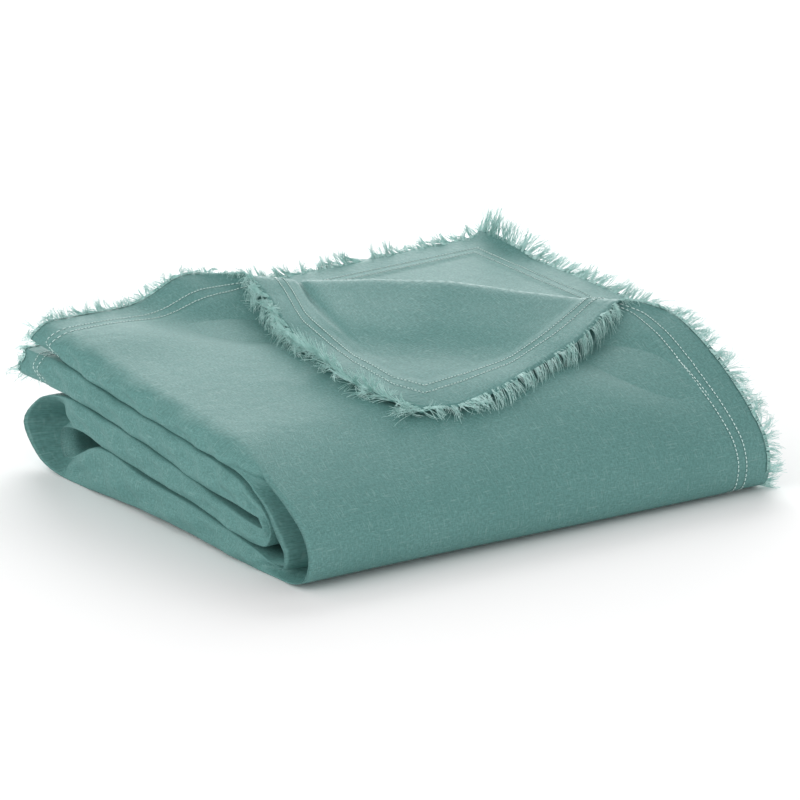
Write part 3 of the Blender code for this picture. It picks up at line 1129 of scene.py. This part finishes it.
@dataclass
class ThrowCloth:
    """The sheet itself: a fine grid on the folded surface, with its turned hem.

    Distances are in centimetres.

    Attributes:
        sheet: The folded surface.
        thickness: Thickness of the cloth.
        hem_depth: Width of the hem.
        hem_step: How far the doubled cloth pushes the sheet down.
        step_width: Width of the smooth step at the hem's inner edge.
        ridge, trough: The ridge inside that edge and the trough outside it.
        fine, medium, coarse: Spacing of the faces on the flat runs.
        outer_fold, right_fold, inner_fold: Spacing round the side folds.
        back_fold, front_inner_fold: Spacing round the folds inside the parcel.
        back_lead: How far before the back fold its spacing starts.
        edge_steps: Distances of the outermost faces from the edge.
    """

    sheet: FoldedSheet
    thickness: float = 0.07
    hem_depth: float = HEM_DEPTH
    hem_step: float = 0.038
    step_width: float = 0.25
    ridge: Ridge = Ridge(-0.35, 0.22, 0.15)
    trough: Ridge = Ridge(0.35, 0.3, -0.2)
    fine: float = 0.44
    medium: float = 0.9
    coarse: float = 1.6
    outer_fold: float = 0.145
    right_fold: float = 0.25
    inner_fold: float = 0.2
    back_fold: float = 0.4
    front_inner_fold: float = 0.35
    back_lead: float = 3.0
    edge_steps: tuple[float, ...] = (
        0.0, 0.5, 1.0, 1.5, 2.0, 2.4, 2.75, 2.95, 3.1, 3.25, 3.4, 3.6, 3.8, 4.0, 4.2, 4.5, 4.8,
    )

    def edged(self, middle: list[Run], side: float) -> Array:
        """Marks over a whole side of the sheet.

        Args:
            middle: The runs between the two edges' own steps.
            side: Length of the side.

        Returns:
            The steps of the first edge, the runs' marks, and the last edge's steps.
        """
        steps = np.array(self.edge_steps[:-1])
        return np.concatenate([steps, spaced(middle), side - steps[::-1]])

    def across_stations(self) -> Array:
        """Where faces meet across the sheet, close together where it shows.

        Returns:
            Distances across it.
        """
        marks = self.sheet.run_marks
        edge = self.edge_steps[-1]
        runs = [
            Run(edge, marks[1], self.fine),
            Run(marks[1], marks[2], self.outer_fold),
            Run(marks[2], marks[3], self.coarse),
            Run(marks[3], marks[4], self.right_fold),
            Run(marks[4], marks[5], self.coarse),
            Run(marks[5], marks[6], self.inner_fold),
            Run(marks[6], marks[7] - edge, self.medium),
        ]
        return self.edged(runs, self.sheet.width)

    def along_stations(self) -> Array:
        """Where faces meet along the sheet, close together where it shows.

        Returns:
            Distances along it.
        """
        marks = self.sheet.along_marks
        parts = [row.part for row in STATIONS]
        front, floor, back, third, inner, second = (
            marks[parts.index(part)]
            for part in (Part.FRONT, Part.FLOOR, Part.BACK, Part.THIRD, Part.INNER, Part.SECOND)
        )
        edge = self.edge_steps[-1]
        runs = [
            Run(edge, front, self.fine),
            Run(front, floor, self.fine),
            Run(floor, back - self.back_lead, self.medium),
            Run(back - self.back_lead, third, self.back_fold),
            Run(third, inner, self.medium),
            Run(inner, second, self.front_inner_fold),
            Run(second, self.sheet.length - edge, self.medium),
        ]
        return self.edged(runs, self.sheet.length)

    def hem_drop(self, across: Array, along: Array) -> Array:
        """How far the turned hem pushes the sheet to its underside.

        A smooth step at the hem's inner edge, with a small ridge just inside it where
        the doubled cloth is fullest: share * exp(-((d - offset) / reach)^2), with d the
        distance in from the hem's inner edge.

        Args:
            across: Distances across the sheet.
            along: Distances along it.

        Returns:
            A distance per point.
        """
        width, length = self.sheet.width, self.sheet.length
        inward = np.minimum.reduce([across, width - across, along, length - along]) - self.hem_depth
        drop = ease(0.5 - inward / self.step_width)
        for bump in (self.ridge, self.trough):
            drop = drop + bump.share * np.exp(-(((inward - bump.offset) / bump.reach) ** 2))
        return self.hem_step * drop

    def build(self) -> bpy.types.Object:
        """The cloth as one thin shell, with its flat place as the UV map.

        Returns:
            The piece.
        """
        across, along = self.across_stations(), self.along_stations()
        grid_across, grid_along = (grid.ravel() for grid in np.meshgrid(across, along))
        points, normal = self.sheet.point_and_normal(grid_across, grid_along)
        points = points - normal * self.hem_drop(grid_across, grid_along)[:, None]
        points[:, 2] = np.maximum(points[:, 2], self.sheet.floor_gap)
        faces = grid_faces(len(along), len(across))
        flat = np.column_stack([grid_across, grid_along])
        cloth = mesh_object("linen_cloth", points, faces, flat)
        shell = cloth.modifiers.new("thickness", "SOLIDIFY")
        shell.thickness = self.thickness * CM
        shell.offset = 0.0
        LOG.info("cloth: %d by %d marks", len(across), len(along))
        return cloth


class Edge(Enum):
    """The sheet's four edges."""

    TOP_END = "end_top"
    UNDER_END = "end_under"
    TOP_SIDE = "side_top"
    UNDER_SIDE = "side_under"


@dataclass(frozen=True)
class EdgeLine:
    """One edge of the opened sheet, with distances along it and out past it."""

    sheet: FoldedSheet
    edge: Edge

    @property
    def length(self) -> float:
        """Length of the edge."""
        ends = (Edge.TOP_END, Edge.UNDER_END)
        return self.sheet.width if self.edge in ends else self.sheet.length

    def flat(self, run: Array, out: Array) -> tuple[Array, Array]:
        """Place on the opened sheet of points beside the edge.

        Args:
            run: Distances along the edge.
            out: Distances out past it; negative ones lie on the sheet.

        Returns:
            Distances across the sheet and along it.
        """
        if self.edge is Edge.TOP_END:
            return run, -out
        if self.edge is Edge.UNDER_END:
            return run, self.sheet.length + out
        if self.edge is Edge.TOP_SIDE:
            return -out, run
        return self.sheet.width + out, run


@dataclass
class Stitches:
    """Two rows of straight stitches round the whole sheet, seen on both faces.

    Distances are in centimetres.

    Attributes:
        sheet: The folded surface.
        hem: The cloth that they are sewn through.
        rows: Distance of each row from the edge.
        pitch: From one stitch to the next.
        stitch, radius, rise: Length, radius and height of one stitch.
        sides: Corners round a stitch.
        slack: How far a stitch lies off its even place along the row.
        sway, sway_length: How far a row sways from straight, and over what length.
        stray: How far a stitch lies to the side of its row.
    """

    sheet: FoldedSheet
    hem: ThrowCloth
    rows: tuple[float, float] = STITCH_ROWS
    pitch: float = 0.26
    stitch: float = 0.15
    radius: float = 0.036
    rise: float = 0.03
    sides: int = 4
    slack: float = 0.008
    sway: float = 0.03
    sway_length: float = 7.0
    stray: float = 0.006

    def row_on_face(self, line: EdgeLine, middle: Array, inset: Array, face: float) -> Array:
        """One row's stitches on one face of the cloth, each a low arch of three points.

        Args:
            line: The edge that the row follows.
            middle: Distance along the edge of each stitch's middle.
            inset: Distance of each stitch from the edge.
            face: 1 for the upper face, -1 for the underside.

        Returns:
            Centre lines, (stitches, 3, 3).
        """
        steps = np.array([-0.5, 0.0, 0.5]) * self.stitch
        heights = np.array([0.0, 1.0, 0.0]) * self.rise + self.hem.thickness / 2
        at = middle[:, None] + steps[None, :]
        inside = np.broadcast_to(-inset[:, None], at.shape)
        across, along = line.flat(at.ravel(), inside.ravel())
        points, normal = self.sheet.point_and_normal(across, along)
        lift = face * np.tile(heights, len(middle)) - self.hem.hem_drop(across, along)
        return (points + normal * lift[:, None]).reshape(len(middle), 3, 3)

    def build_edge(self, edge: Edge, seed: int) -> bpy.types.Object:
        """All stitches of one edge, joined into one mesh.

        The underside's stitches lie half a pitch on from the upper face's.

        Args:
            edge: Which edge.
            seed: Seed of their unevenness.

        Returns:
            The piece.
        """
        line = EdgeLine(self.sheet, edge)
        rng = np.random.default_rng(seed)
        paths = []
        for row in self.rows:
            run = np.arange(row, line.length - row, self.pitch)
            run = run + rng.normal(0.0, self.slack, len(run))
            inset = row + self.sway * np.sin(run / self.sway_length)
            inset = inset + rng.normal(0.0, self.stray, len(run))
            paths.append(self.row_on_face(line, run, inset, 1.0))
            paths.append(self.row_on_face(line, run + self.pitch / 2, inset, -1.0))
        centre = np.concatenate(paths)
        radii = np.full(centre.shape[:2], self.radius)
        points, faces = threads(centre, radii, self.sides)
        LOG.info("stitches %s: %d", edge.value, len(centre))
        return mesh_object(f"stitches_{edge.value}", points, faces)


class Fray(NamedTuple):
    """How the fringe lies at one place along an edge.

    ``run`` is the distance along the edge and ``length`` that of the threads. ``hang``
    and ``lift`` are angles in radians, down past the edge and up at the root. ``curl``
    multiplies the unevenness of the threads' turn and bend, and ``density`` is threads
    per centimetre.
    """

    run: float
    length: float
    hang: float
    lift: float
    curl: float
    density: float


FRINGE_TABLE: dict[Edge, tuple[Fray, ...]] = {
    Edge.TOP_END: (
        Fray(0.0, 1.5, 0.1, 0.4, 1.8, 46.0),
        Fray(5.0, 2.0, 0.2, 0.6, 2.4, 52.0),
        Fray(10.0, 2.3, 0.4, 0.6, 2.6, 60.0),
        Fray(19.0, 2.4, 0.7, 0.5, 2.6, 60.0),
        Fray(21.5, 1.5, 0.7, 0.4, 2.6, 54.0),
        Fray(23.0, 0.8, 0.6, 0.3, 2.4, 46.0),
        Fray(27.0, 0.7, 0.0, 0.3, 1.8, 34.0),
        Fray(36.0, 0.7, 0.0, 0.3, 1.8, 34.0),
        Fray(39.0, 1.0, 0.1, 0.2, 1.4, 30.0),
        Fray(41.0, 1.0, 0.1, 0.0, 0.6, 9.0),
        Fray(108.0, 1.0, 0.1, 0.1, 0.6, 9.0),
        Fray(113.0, 1.1, 0.0, 0.2, 1.8, 62.0),
        Fray(143.0, 1.1, 0.0, 0.2, 1.8, 62.0),
        Fray(150.0, 1.1, 0.0, 0.3, 1.6, 50.0),
    ),
    Edge.UNDER_END: (
        Fray(0.0, 1.0, 0.2, 0.1, 0.6, 9.0),
        Fray(32.0, 1.0, 0.2, 0.1, 0.6, 9.0),
        Fray(35.0, 1.2, 0.4, 0.2, 1.4, 32.0),
        Fray(40.0, 1.2, 0.6, 0.1, 1.4, 32.0),
        Fray(44.0, 1.0, 0.2, 0.1, 0.6, 9.0),
        Fray(150.0, 1.0, 0.2, 0.1, 0.6, 9.0),
    ),
    Edge.TOP_SIDE: (
        Fray(0.0, 1.3, 0.1, 0.4, 1.4, 34.0),
        Fray(5.0, 1.3, 0.4, 0.3, 1.0, 34.0),
        Fray(9.0, 1.6, 0.9, 0.3, 0.6, 36.0),
        Fray(16.0, 1.9, 1.2, 0.3, 0.5, 38.0),
        Fray(21.0, 1.3, 0.6, 0.5, 0.6, 34.0),
        Fray(24.0, 1.1, 0.0, 0.3, 1.0, 48.0),
        Fray(34.0, 1.1, 0.1, 0.2, 1.2, 48.0),
        Fray(41.0, 1.4, 0.3, 0.0, 1.0, 44.0),
        Fray(45.0, 1.0, 0.1, 0.0, 0.6, 9.0),
        Fray(125.0, 1.0, 0.1, 0.1, 0.6, 9.0),
    ),
    Edge.UNDER_SIDE: (
        Fray(0.0, 1.8, 0.0, 0.3, 0.5, 52.0),
        Fray(4.5, 1.7, 0.0, 0.3, 0.5, 52.0),
        Fray(7.0, 1.2, 0.0, 0.4, 0.7, 48.0),
        Fray(20.0, 1.2, 0.0, 0.3, 0.8, 48.0),
        Fray(26.0, 1.0, 0.1, 0.1, 0.6, 9.0),
        Fray(125.0, 1.0, 0.1, 0.1, 0.6, 9.0),
    ),
}


class Spread(NamedTuple):
    """Least and greatest of a value that differs evenly from thread to thread."""

    least: float
    most: float


class Stray(NamedTuple):
    """Unevenness of an angle in radians: smoothly along the edge, by lock, by thread."""

    along: float
    lock: float
    thread: float


# Waves of a fringe's unevenness: their lengths, how far each is stretched, the reach
# of their phases, and what brings their sum near one.
WANDER_LENGTHS = (4.3, 1.9, 1.1, 0.6)
WANDER_STRETCH = Spread(0.85, 1.15)
WANDER_PHASES = Spread(0.0, 7.0)
WANDER_EVENING = 1.6

# Steps in which an edge's threads are counted, and the least upward part of a normal
# that still counts as the face that threads lie on.
ROOT_STEPS = 2000
FACE_DOWN = -0.2


@dataclass
class Strands:
    """The threads of one frayed edge, gathered in locks, and their random draws.

    Attributes:
        rng: Source of the draws.
        run: Distance along the edge of each thread's root.
        lock: Number of each thread's lock.
        lock_middle: Distance along the edge of each lock's middle.
    """

    rng: np.random.Generator
    run: Array
    lock: Whole
    lock_middle: Array

    def each(self, spread: Spread) -> Array:
        """An even draw for each thread."""
        return self.rng.uniform(*spread, len(self.run))

    def each_lock(self, spread: Spread) -> Array:
        """An even draw for each lock, handed to its threads."""
        return self.rng.uniform(*spread, len(self.lock_middle))[self.lock]

    def off(self, spread: float) -> Array:
        """A normal draw about nought for each thread."""
        return self.rng.normal(0.0, spread, len(self.run))

    def lock_off(self, spread: float) -> Array:
        """A normal draw about nought for each lock, handed to its threads."""
        return self.rng.normal(0.0, spread, len(self.lock_middle))[self.lock]

    def wander(self) -> Array:
        """Smooth unevenness along the edge: a sum of sines of unlike lengths.

        Returns:
            A value about nought for each thread.
        """
        total = np.zeros_like(self.run)
        for length in WANDER_LENGTHS:
            length = length * self.rng.uniform(*WANDER_STRETCH)
            total += np.sin(2 * np.pi * self.run / length + self.rng.uniform(*WANDER_PHASES))
        return total / WANDER_EVENING


@dataclass
class Fringe:
    """The frayed edge: locks of crimped loose threads.

    Distances are in centimetres; density is threads per centimetre.

    Attributes:
        sheet: The folded surface.
        points: Points of a thread.
        sides: Corners round a thread.
        radius, taper: Radius at the root, and the share of it lost at the tip.
        root: How far inside the edge a thread starts.
        clearance: Height of a thread's middle line off the sheet's middle surface.
        drop: How far below it a thread may hang once it is past the edge.
        lock: Width of a lock.
        lock_waves: Rate and size of the waves that make locks uneven.
        gather: How far threads close up towards their lock's middle.
        length_wander, lock_length, thread_length: Unevenness of the length.
        crimp, crimp_waves: Size and rate of a thread's own waves.
        lean, turn: The heading at the root, and how it turns towards the tip.
        climb, bend: The climb off the sheet at the root, and how it bends. A thread's
            own part of the bend comes from its droop.
        climb_share: Share of the thread over which the climb comes in.
        turn_power: How much of the turn is kept for the tip.
        droop: How strongly the table's hang bends a thread down.
    """

    sheet: FoldedSheet
    points: int = 7
    sides: int = 3
    radius: float = 0.020
    taper: float = 0.55
    root: float = 0.3
    clearance: float = 0.05
    drop: float = 2.0
    lock: float = 0.19
    lock_waves: tuple[tuple[float, float], ...] = ((2.1, 0.6), (7.3, 0.5))
    gather: Spread = Spread(0.1, 0.6)
    length_wander: float = 0.14
    lock_length: Spread = Spread(0.8, 1.1)
    thread_length: Spread = Spread(0.6, 1.05)
    crimp: Spread = Spread(0.05, 0.28)
    crimp_waves: Spread = Spread(3.0, 9.0)
    lean: Stray = Stray(0.22, 0.16, 0.07)
    turn: Stray = Stray(0.3, 0.5, 0.15)
    turn_power: float = 1.4
    climb: Stray = Stray(0.35, 0.16, 0.07)
    climb_share: float = 0.25
    bend: Stray = Stray(0.2, 0.3, 0.0)
    droop: Spread = Spread(1.2, 1.9)

    def table(self, edge: Edge, run: Array, column: str) -> Array:
        """A column of the fringe table at distances along an edge."""
        rows = FRINGE_TABLE[edge]
        return np.interp(run, [row.run for row in rows], [getattr(row, column) for row in rows])

    def strands(self, edge: Edge, length: float, rng: np.random.Generator) -> Strands:
        """The threads of an edge: evenly by the running sum of density, then jittered.

        Args:
            edge: Which edge.
            length: Its length.
            rng: Source of the unevenness.

        Returns:
            The threads, each with the number of its lock.
        """
        fine = np.linspace(0.0, length, ROOT_STEPS)
        steps = self.table(edge, fine, "density")[1:] * np.diff(fine)
        total = np.concatenate([[0.0], np.cumsum(steps)])
        count = int(total[-1])
        run = np.interp(np.arange(count) + rng.uniform(0, 1, count), total, fine)
        number = run / self.lock
        for rate, size in self.lock_waves:
            number = number + size * np.sin(run * rate)
        number = np.floor(number).astype(int)
        number -= number.min()
        kinds = number.max() + 1
        middle = np.bincount(number, run, kinds) / np.maximum(np.bincount(number, minlength=kinds), 1)
        return Strands(rng, run, number, middle)

    def angles(self, edge: Edge, strands: Strands, share: Array) -> tuple[Array, Array, Array]:
        """Length, heading and climb of each thread.

        A thread's heading in the sheet is lean + turn * s^power + crimp, and its climb
        off the sheet is rise + bend * s + crimp, with s from nought at the root to one
        at the tip. The rise comes in over the first quarter.

        Args:
            edge: Which edge.
            strands: Its threads.
            share: The s of each point.

        Returns:
            Lengths, one per thread, and headings and climbs, (threads, points).
        """
        run, rng, count = strands.run, strands.rng, len(strands.run)
        towards = (strands.lock_middle[strands.lock] - run) * strands.each(self.gather)
        length = self.table(edge, run, "length") * (1.0 + self.length_wander * strands.wander())
        length = length * strands.each_lock(self.lock_length) * strands.each(self.thread_length)
        length = length + self.root
        crimp = strands.each(self.crimp)[:, None] * np.sqrt(share)
        waves = rng.uniform(*self.crimp_waves, (count, 2, 1))
        phase = rng.uniform(0, 2 * np.pi, (count, 2, 1))
        curl = self.table(edge, run, "curl")
        lean = self.lean.along * strands.wander() + strands.lock_off(self.lean.lock)
        lean = lean + strands.off(self.lean.thread)
        turn = curl * (self.turn.along * strands.wander() + strands.lock_off(self.turn.lock))
        turn = turn + strands.off(self.turn.thread)
        heading = (np.arctan2(towards, length) + lean)[:, None]
        heading = heading + turn[:, None] * share**self.turn_power
        heading = heading + crimp * np.sin(waves[:, 0] * share + phase[:, 0])
        rise = self.table(edge, run, "lift") * (1.0 + self.climb.along * strands.wander())
        rise = rise + strands.lock_off(self.climb.lock) + strands.off(self.climb.thread)
        bend = curl * (self.bend.along * strands.wander() + strands.lock_off(self.bend.lock))
        bend = bend - self.table(edge, run, "hang") * strands.each(self.droop)
        climb = rise[:, None] * np.minimum(share / self.climb_share, 1.0) + bend[:, None] * share
        climb = climb + crimp * np.cos(waves[:, 1] * share + phase[:, 1])
        return length, heading, climb

    def build_edge(self, edge: Edge, seed: int) -> bpy.types.Object:
        """All threads of one frayed edge, joined into one mesh.

        Running sums of cos and sin of each thread's heading and climb give its path.

        Args:
            edge: Which edge.
            seed: Seed of its unevenness.

        Returns:
            The piece.
        """
        line = EdgeLine(self.sheet, edge)
        strands = self.strands(edge, line.length, np.random.default_rng(seed))
        count = len(strands.run)
        share = np.linspace(0.0, 1.0, self.points)[None, :]
        length, heading, climb = self.angles(edge, strands, share)
        step = (length / (self.points - 1))[:, None]
        flat_step = np.cos(climb) * step
        out = np.cumsum(np.cos(heading) * flat_step, 1) - flat_step - self.root
        at = strands.run[:, None] + np.cumsum(np.sin(heading) * flat_step, 1)
        beyond = np.clip(out / self.root, 0.0, 1.0)
        height = self.clearance + np.cumsum(np.sin(climb) * step, 1)
        height = np.maximum(height, self.clearance - self.drop * beyond)
        across, along = line.flat(at.ravel(), out.ravel())
        points, normal = self.sheet.point_and_normal(across, along)
        normal = np.where(normal[:, 2:3] < FACE_DOWN, -normal, normal)
        points = points + normal * height.ravel()[:, None]
        points[:, 2] = np.maximum(points[:, 2], self.radius * 2)
        centre = points.reshape(count, self.points, 3)
        radii = np.broadcast_to(self.radius * (1.0 - self.taper * share), centre.shape[:2])
        points, faces = threads(centre, radii, self.sides)
        LOG.info("fringe %s: %d threads", edge.value, count)
        return mesh_object(f"threads_{edge.value}", points, faces)


# ---------------------------------------------------------------- surroundings


class Lamp(NamedTuple):
    """A square soft light: where it stands round the throw, its side and its power."""

    name: str
    azimuth: float
    elevation: float
    size: float
    power: float


LAMPS: tuple[Lamp, ...] = (
    Lamp("backdrop", 142.0, 24.0, 2.4, 88.0),
    Lamp("side", -88.0, 24.0, 2.0, 30.0),
    Lamp("front", 0.0, 12.0, 2.0, 12.0),
)


@dataclass
class Studio:
    """A pale floor in an even bright room, three soft lights, and the camera.

    The strongest light is low behind the throw and lays a sheen on its top. Distances
    are in metres, and angles in degrees.
    """

    camera_azimuth: float = -34.88
    camera_elevation: float = 16.62
    camera_distance: float = 3.3547
    target: tuple[float, float, float] = (0.0, 0.004, 0.0562)
    lens: float = 225.0
    sensor: float = 36.0
    far_limit: float = 50.0
    lamp_distance: float = 3.0
    floor_side: float = 40.0
    floor_paint: Colour = (0.93, 0.93, 0.93, 1.0)
    floor_roughness: float = 0.9
    room_colour: Colour = (1.0, 1.0, 1.0, 1.0)
    room_strength: float = 0.7

    def direction(self, azimuth: float, elevation: float) -> Array:
        """Unit vector from the object towards a viewer; azimuth 0 is a viewer at -Y."""
        a, e = math.radians(azimuth), math.radians(elevation)
        return np.array([math.sin(a) * math.cos(e), -math.cos(a) * math.cos(e), math.sin(e)])

    def build_camera(self) -> bpy.types.Object:
        """Stand the camera at its azimuth and elevation, looking at the target.

        Returns:
            The camera.
        """
        data = bpy.data.cameras.new("camera")
        data.lens = self.lens
        data.sensor_width = self.sensor
        data.clip_end = self.far_limit
        camera = bpy.data.objects.new("camera", data)
        back = self.direction(self.camera_azimuth, self.camera_elevation)
        camera.location = np.array(self.target) + back * self.camera_distance
        camera.rotation_euler = (
            math.radians(90.0 - self.camera_elevation),
            0.0,
            math.radians(self.camera_azimuth),
        )
        bpy.context.scene.collection.objects.link(camera)
        bpy.context.scene.camera = camera
        return camera

    def build_lamp(self, lamp: Lamp) -> bpy.types.Object:
        """One light, aimed at the throw.

        Args:
            lamp: Its place, size and power.

        Returns:
            The light.
        """
        data = bpy.data.lights.new(lamp.name, "AREA")
        data.shape = "SQUARE"
        data.size = lamp.size
        data.energy = lamp.power
        item = bpy.data.objects.new(lamp.name, data)
        item.location = self.direction(lamp.azimuth, lamp.elevation) * self.lamp_distance
        tilt, heading = math.radians(90.0 - lamp.elevation), math.radians(lamp.azimuth)
        item.rotation_euler = (tilt, 0.0, heading)
        bpy.context.scene.collection.objects.link(item)
        return item

    def build_floor(self) -> bpy.types.Object:
        """Lay a wide pale floor.

        Returns:
            The floor.
        """
        bpy.ops.mesh.primitive_plane_add(size=self.floor_side, location=(0.0, 0.0, 0.0))
        floor = bpy.context.object
        floor.name = "floor"
        paint = bpy.data.materials.new("floor_paint")
        paint.use_nodes = True
        principled = paint.node_tree.nodes["Principled BSDF"]
        principled.inputs["Base Color"].default_value = self.floor_paint
        principled.inputs["Roughness"].default_value = self.floor_roughness
        floor.data.materials.append(paint)
        return floor

    def build(self) -> None:
        """World, floor, lights and camera."""
        scene = bpy.context.scene
        scene.view_settings.view_transform = "Standard"
        world = bpy.data.worlds.new("soft_room")
        world.use_nodes = True
        room = world.node_tree.nodes["Background"]
        room.inputs["Color"].default_value = self.room_colour
        room.inputs["Strength"].default_value = self.room_strength
        scene.world = world
        self.build_floor()
        for lamp in LAMPS:
            self.build_lamp(lamp)
        self.build_camera()


LINEN = Linen(
    name="linen",
    deep=(0.108, 0.268, 0.250, 1.0),
    light=(0.152, 0.330, 0.312, 1.0),
    slub=(0.34, 0.52, 0.49, 1.0),
    # The shade colour is also the painted shade in the grooves along the stitches.
    shade=(0.06696, 0.16616, 0.155, 1.0),
)
# Painted highlight: the stitch yarn is made far paler than the cloth so its stitches show as bright
# glints.
PAINTED_HIGHLIGHT_THREAD = Yarn("stitch_thread_painted_highlight", (0.60, 0.80, 0.77, 1.0), (0.72, 0.89, 0.86, 1.0))
# Painted light: the fringe yarn is made far paler than the cloth so its threads look lit through by
# the light.
PAINTED_LIGHT_FRINGE_YARN = Yarn("frayed_yarn_painted_light", (0.29, 0.53, 0.49, 1.0), (0.58, 0.80, 0.77, 1.0))


def place(piece: bpy.types.Object, finish: bpy.types.Material, slot: str, *nodes: str) -> None:
    """Give a piece its finish and body, and hide the solids that it stands for.

    Args:
        piece: The piece.
        finish: Its material.
        slot: Name of its colour slot; not used.
        nodes: The solids that it replaces, if any.
    """
    piece.data.materials.append(finish)
    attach(piece, BODY)
    if nodes:
        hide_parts(*nodes)


def main() -> None:
    """Build the throw and its surroundings in order."""
    logging.basicConfig(level=logging.INFO, format="%(name)s %(message)s")
    sheet = FoldedSheet()
    hem = ThrowCloth(sheet)
    cloth = hem.build()
    place(cloth, LINEN.material(), "linen", "throw_cloth")
    # Both yarns carry painted light in their pale colours: the stitches' glints and the fringe's lit
    # threads.
    thread, frayed = PAINTED_HIGHLIGHT_THREAD.material(), PAINTED_LIGHT_FRINGE_YARN.material()
    trims = []
    for seed, edge in enumerate(Edge):
        stitches = Stitches(sheet, hem).build_edge(edge, STITCH_SEED + seed)
        place(stitches, thread, "linen")
        fringe = Fringe(sheet).build_edge(edge, FRINGE_SEED + seed)
        place(fringe, frayed, "fringe", f"fringe_{edge.value}")
        trims += [stitches, fringe]
    flat = (sheet.width * CM, sheet.length * CM)
    Studio().build()


if __name__ == "__main__":
    main()
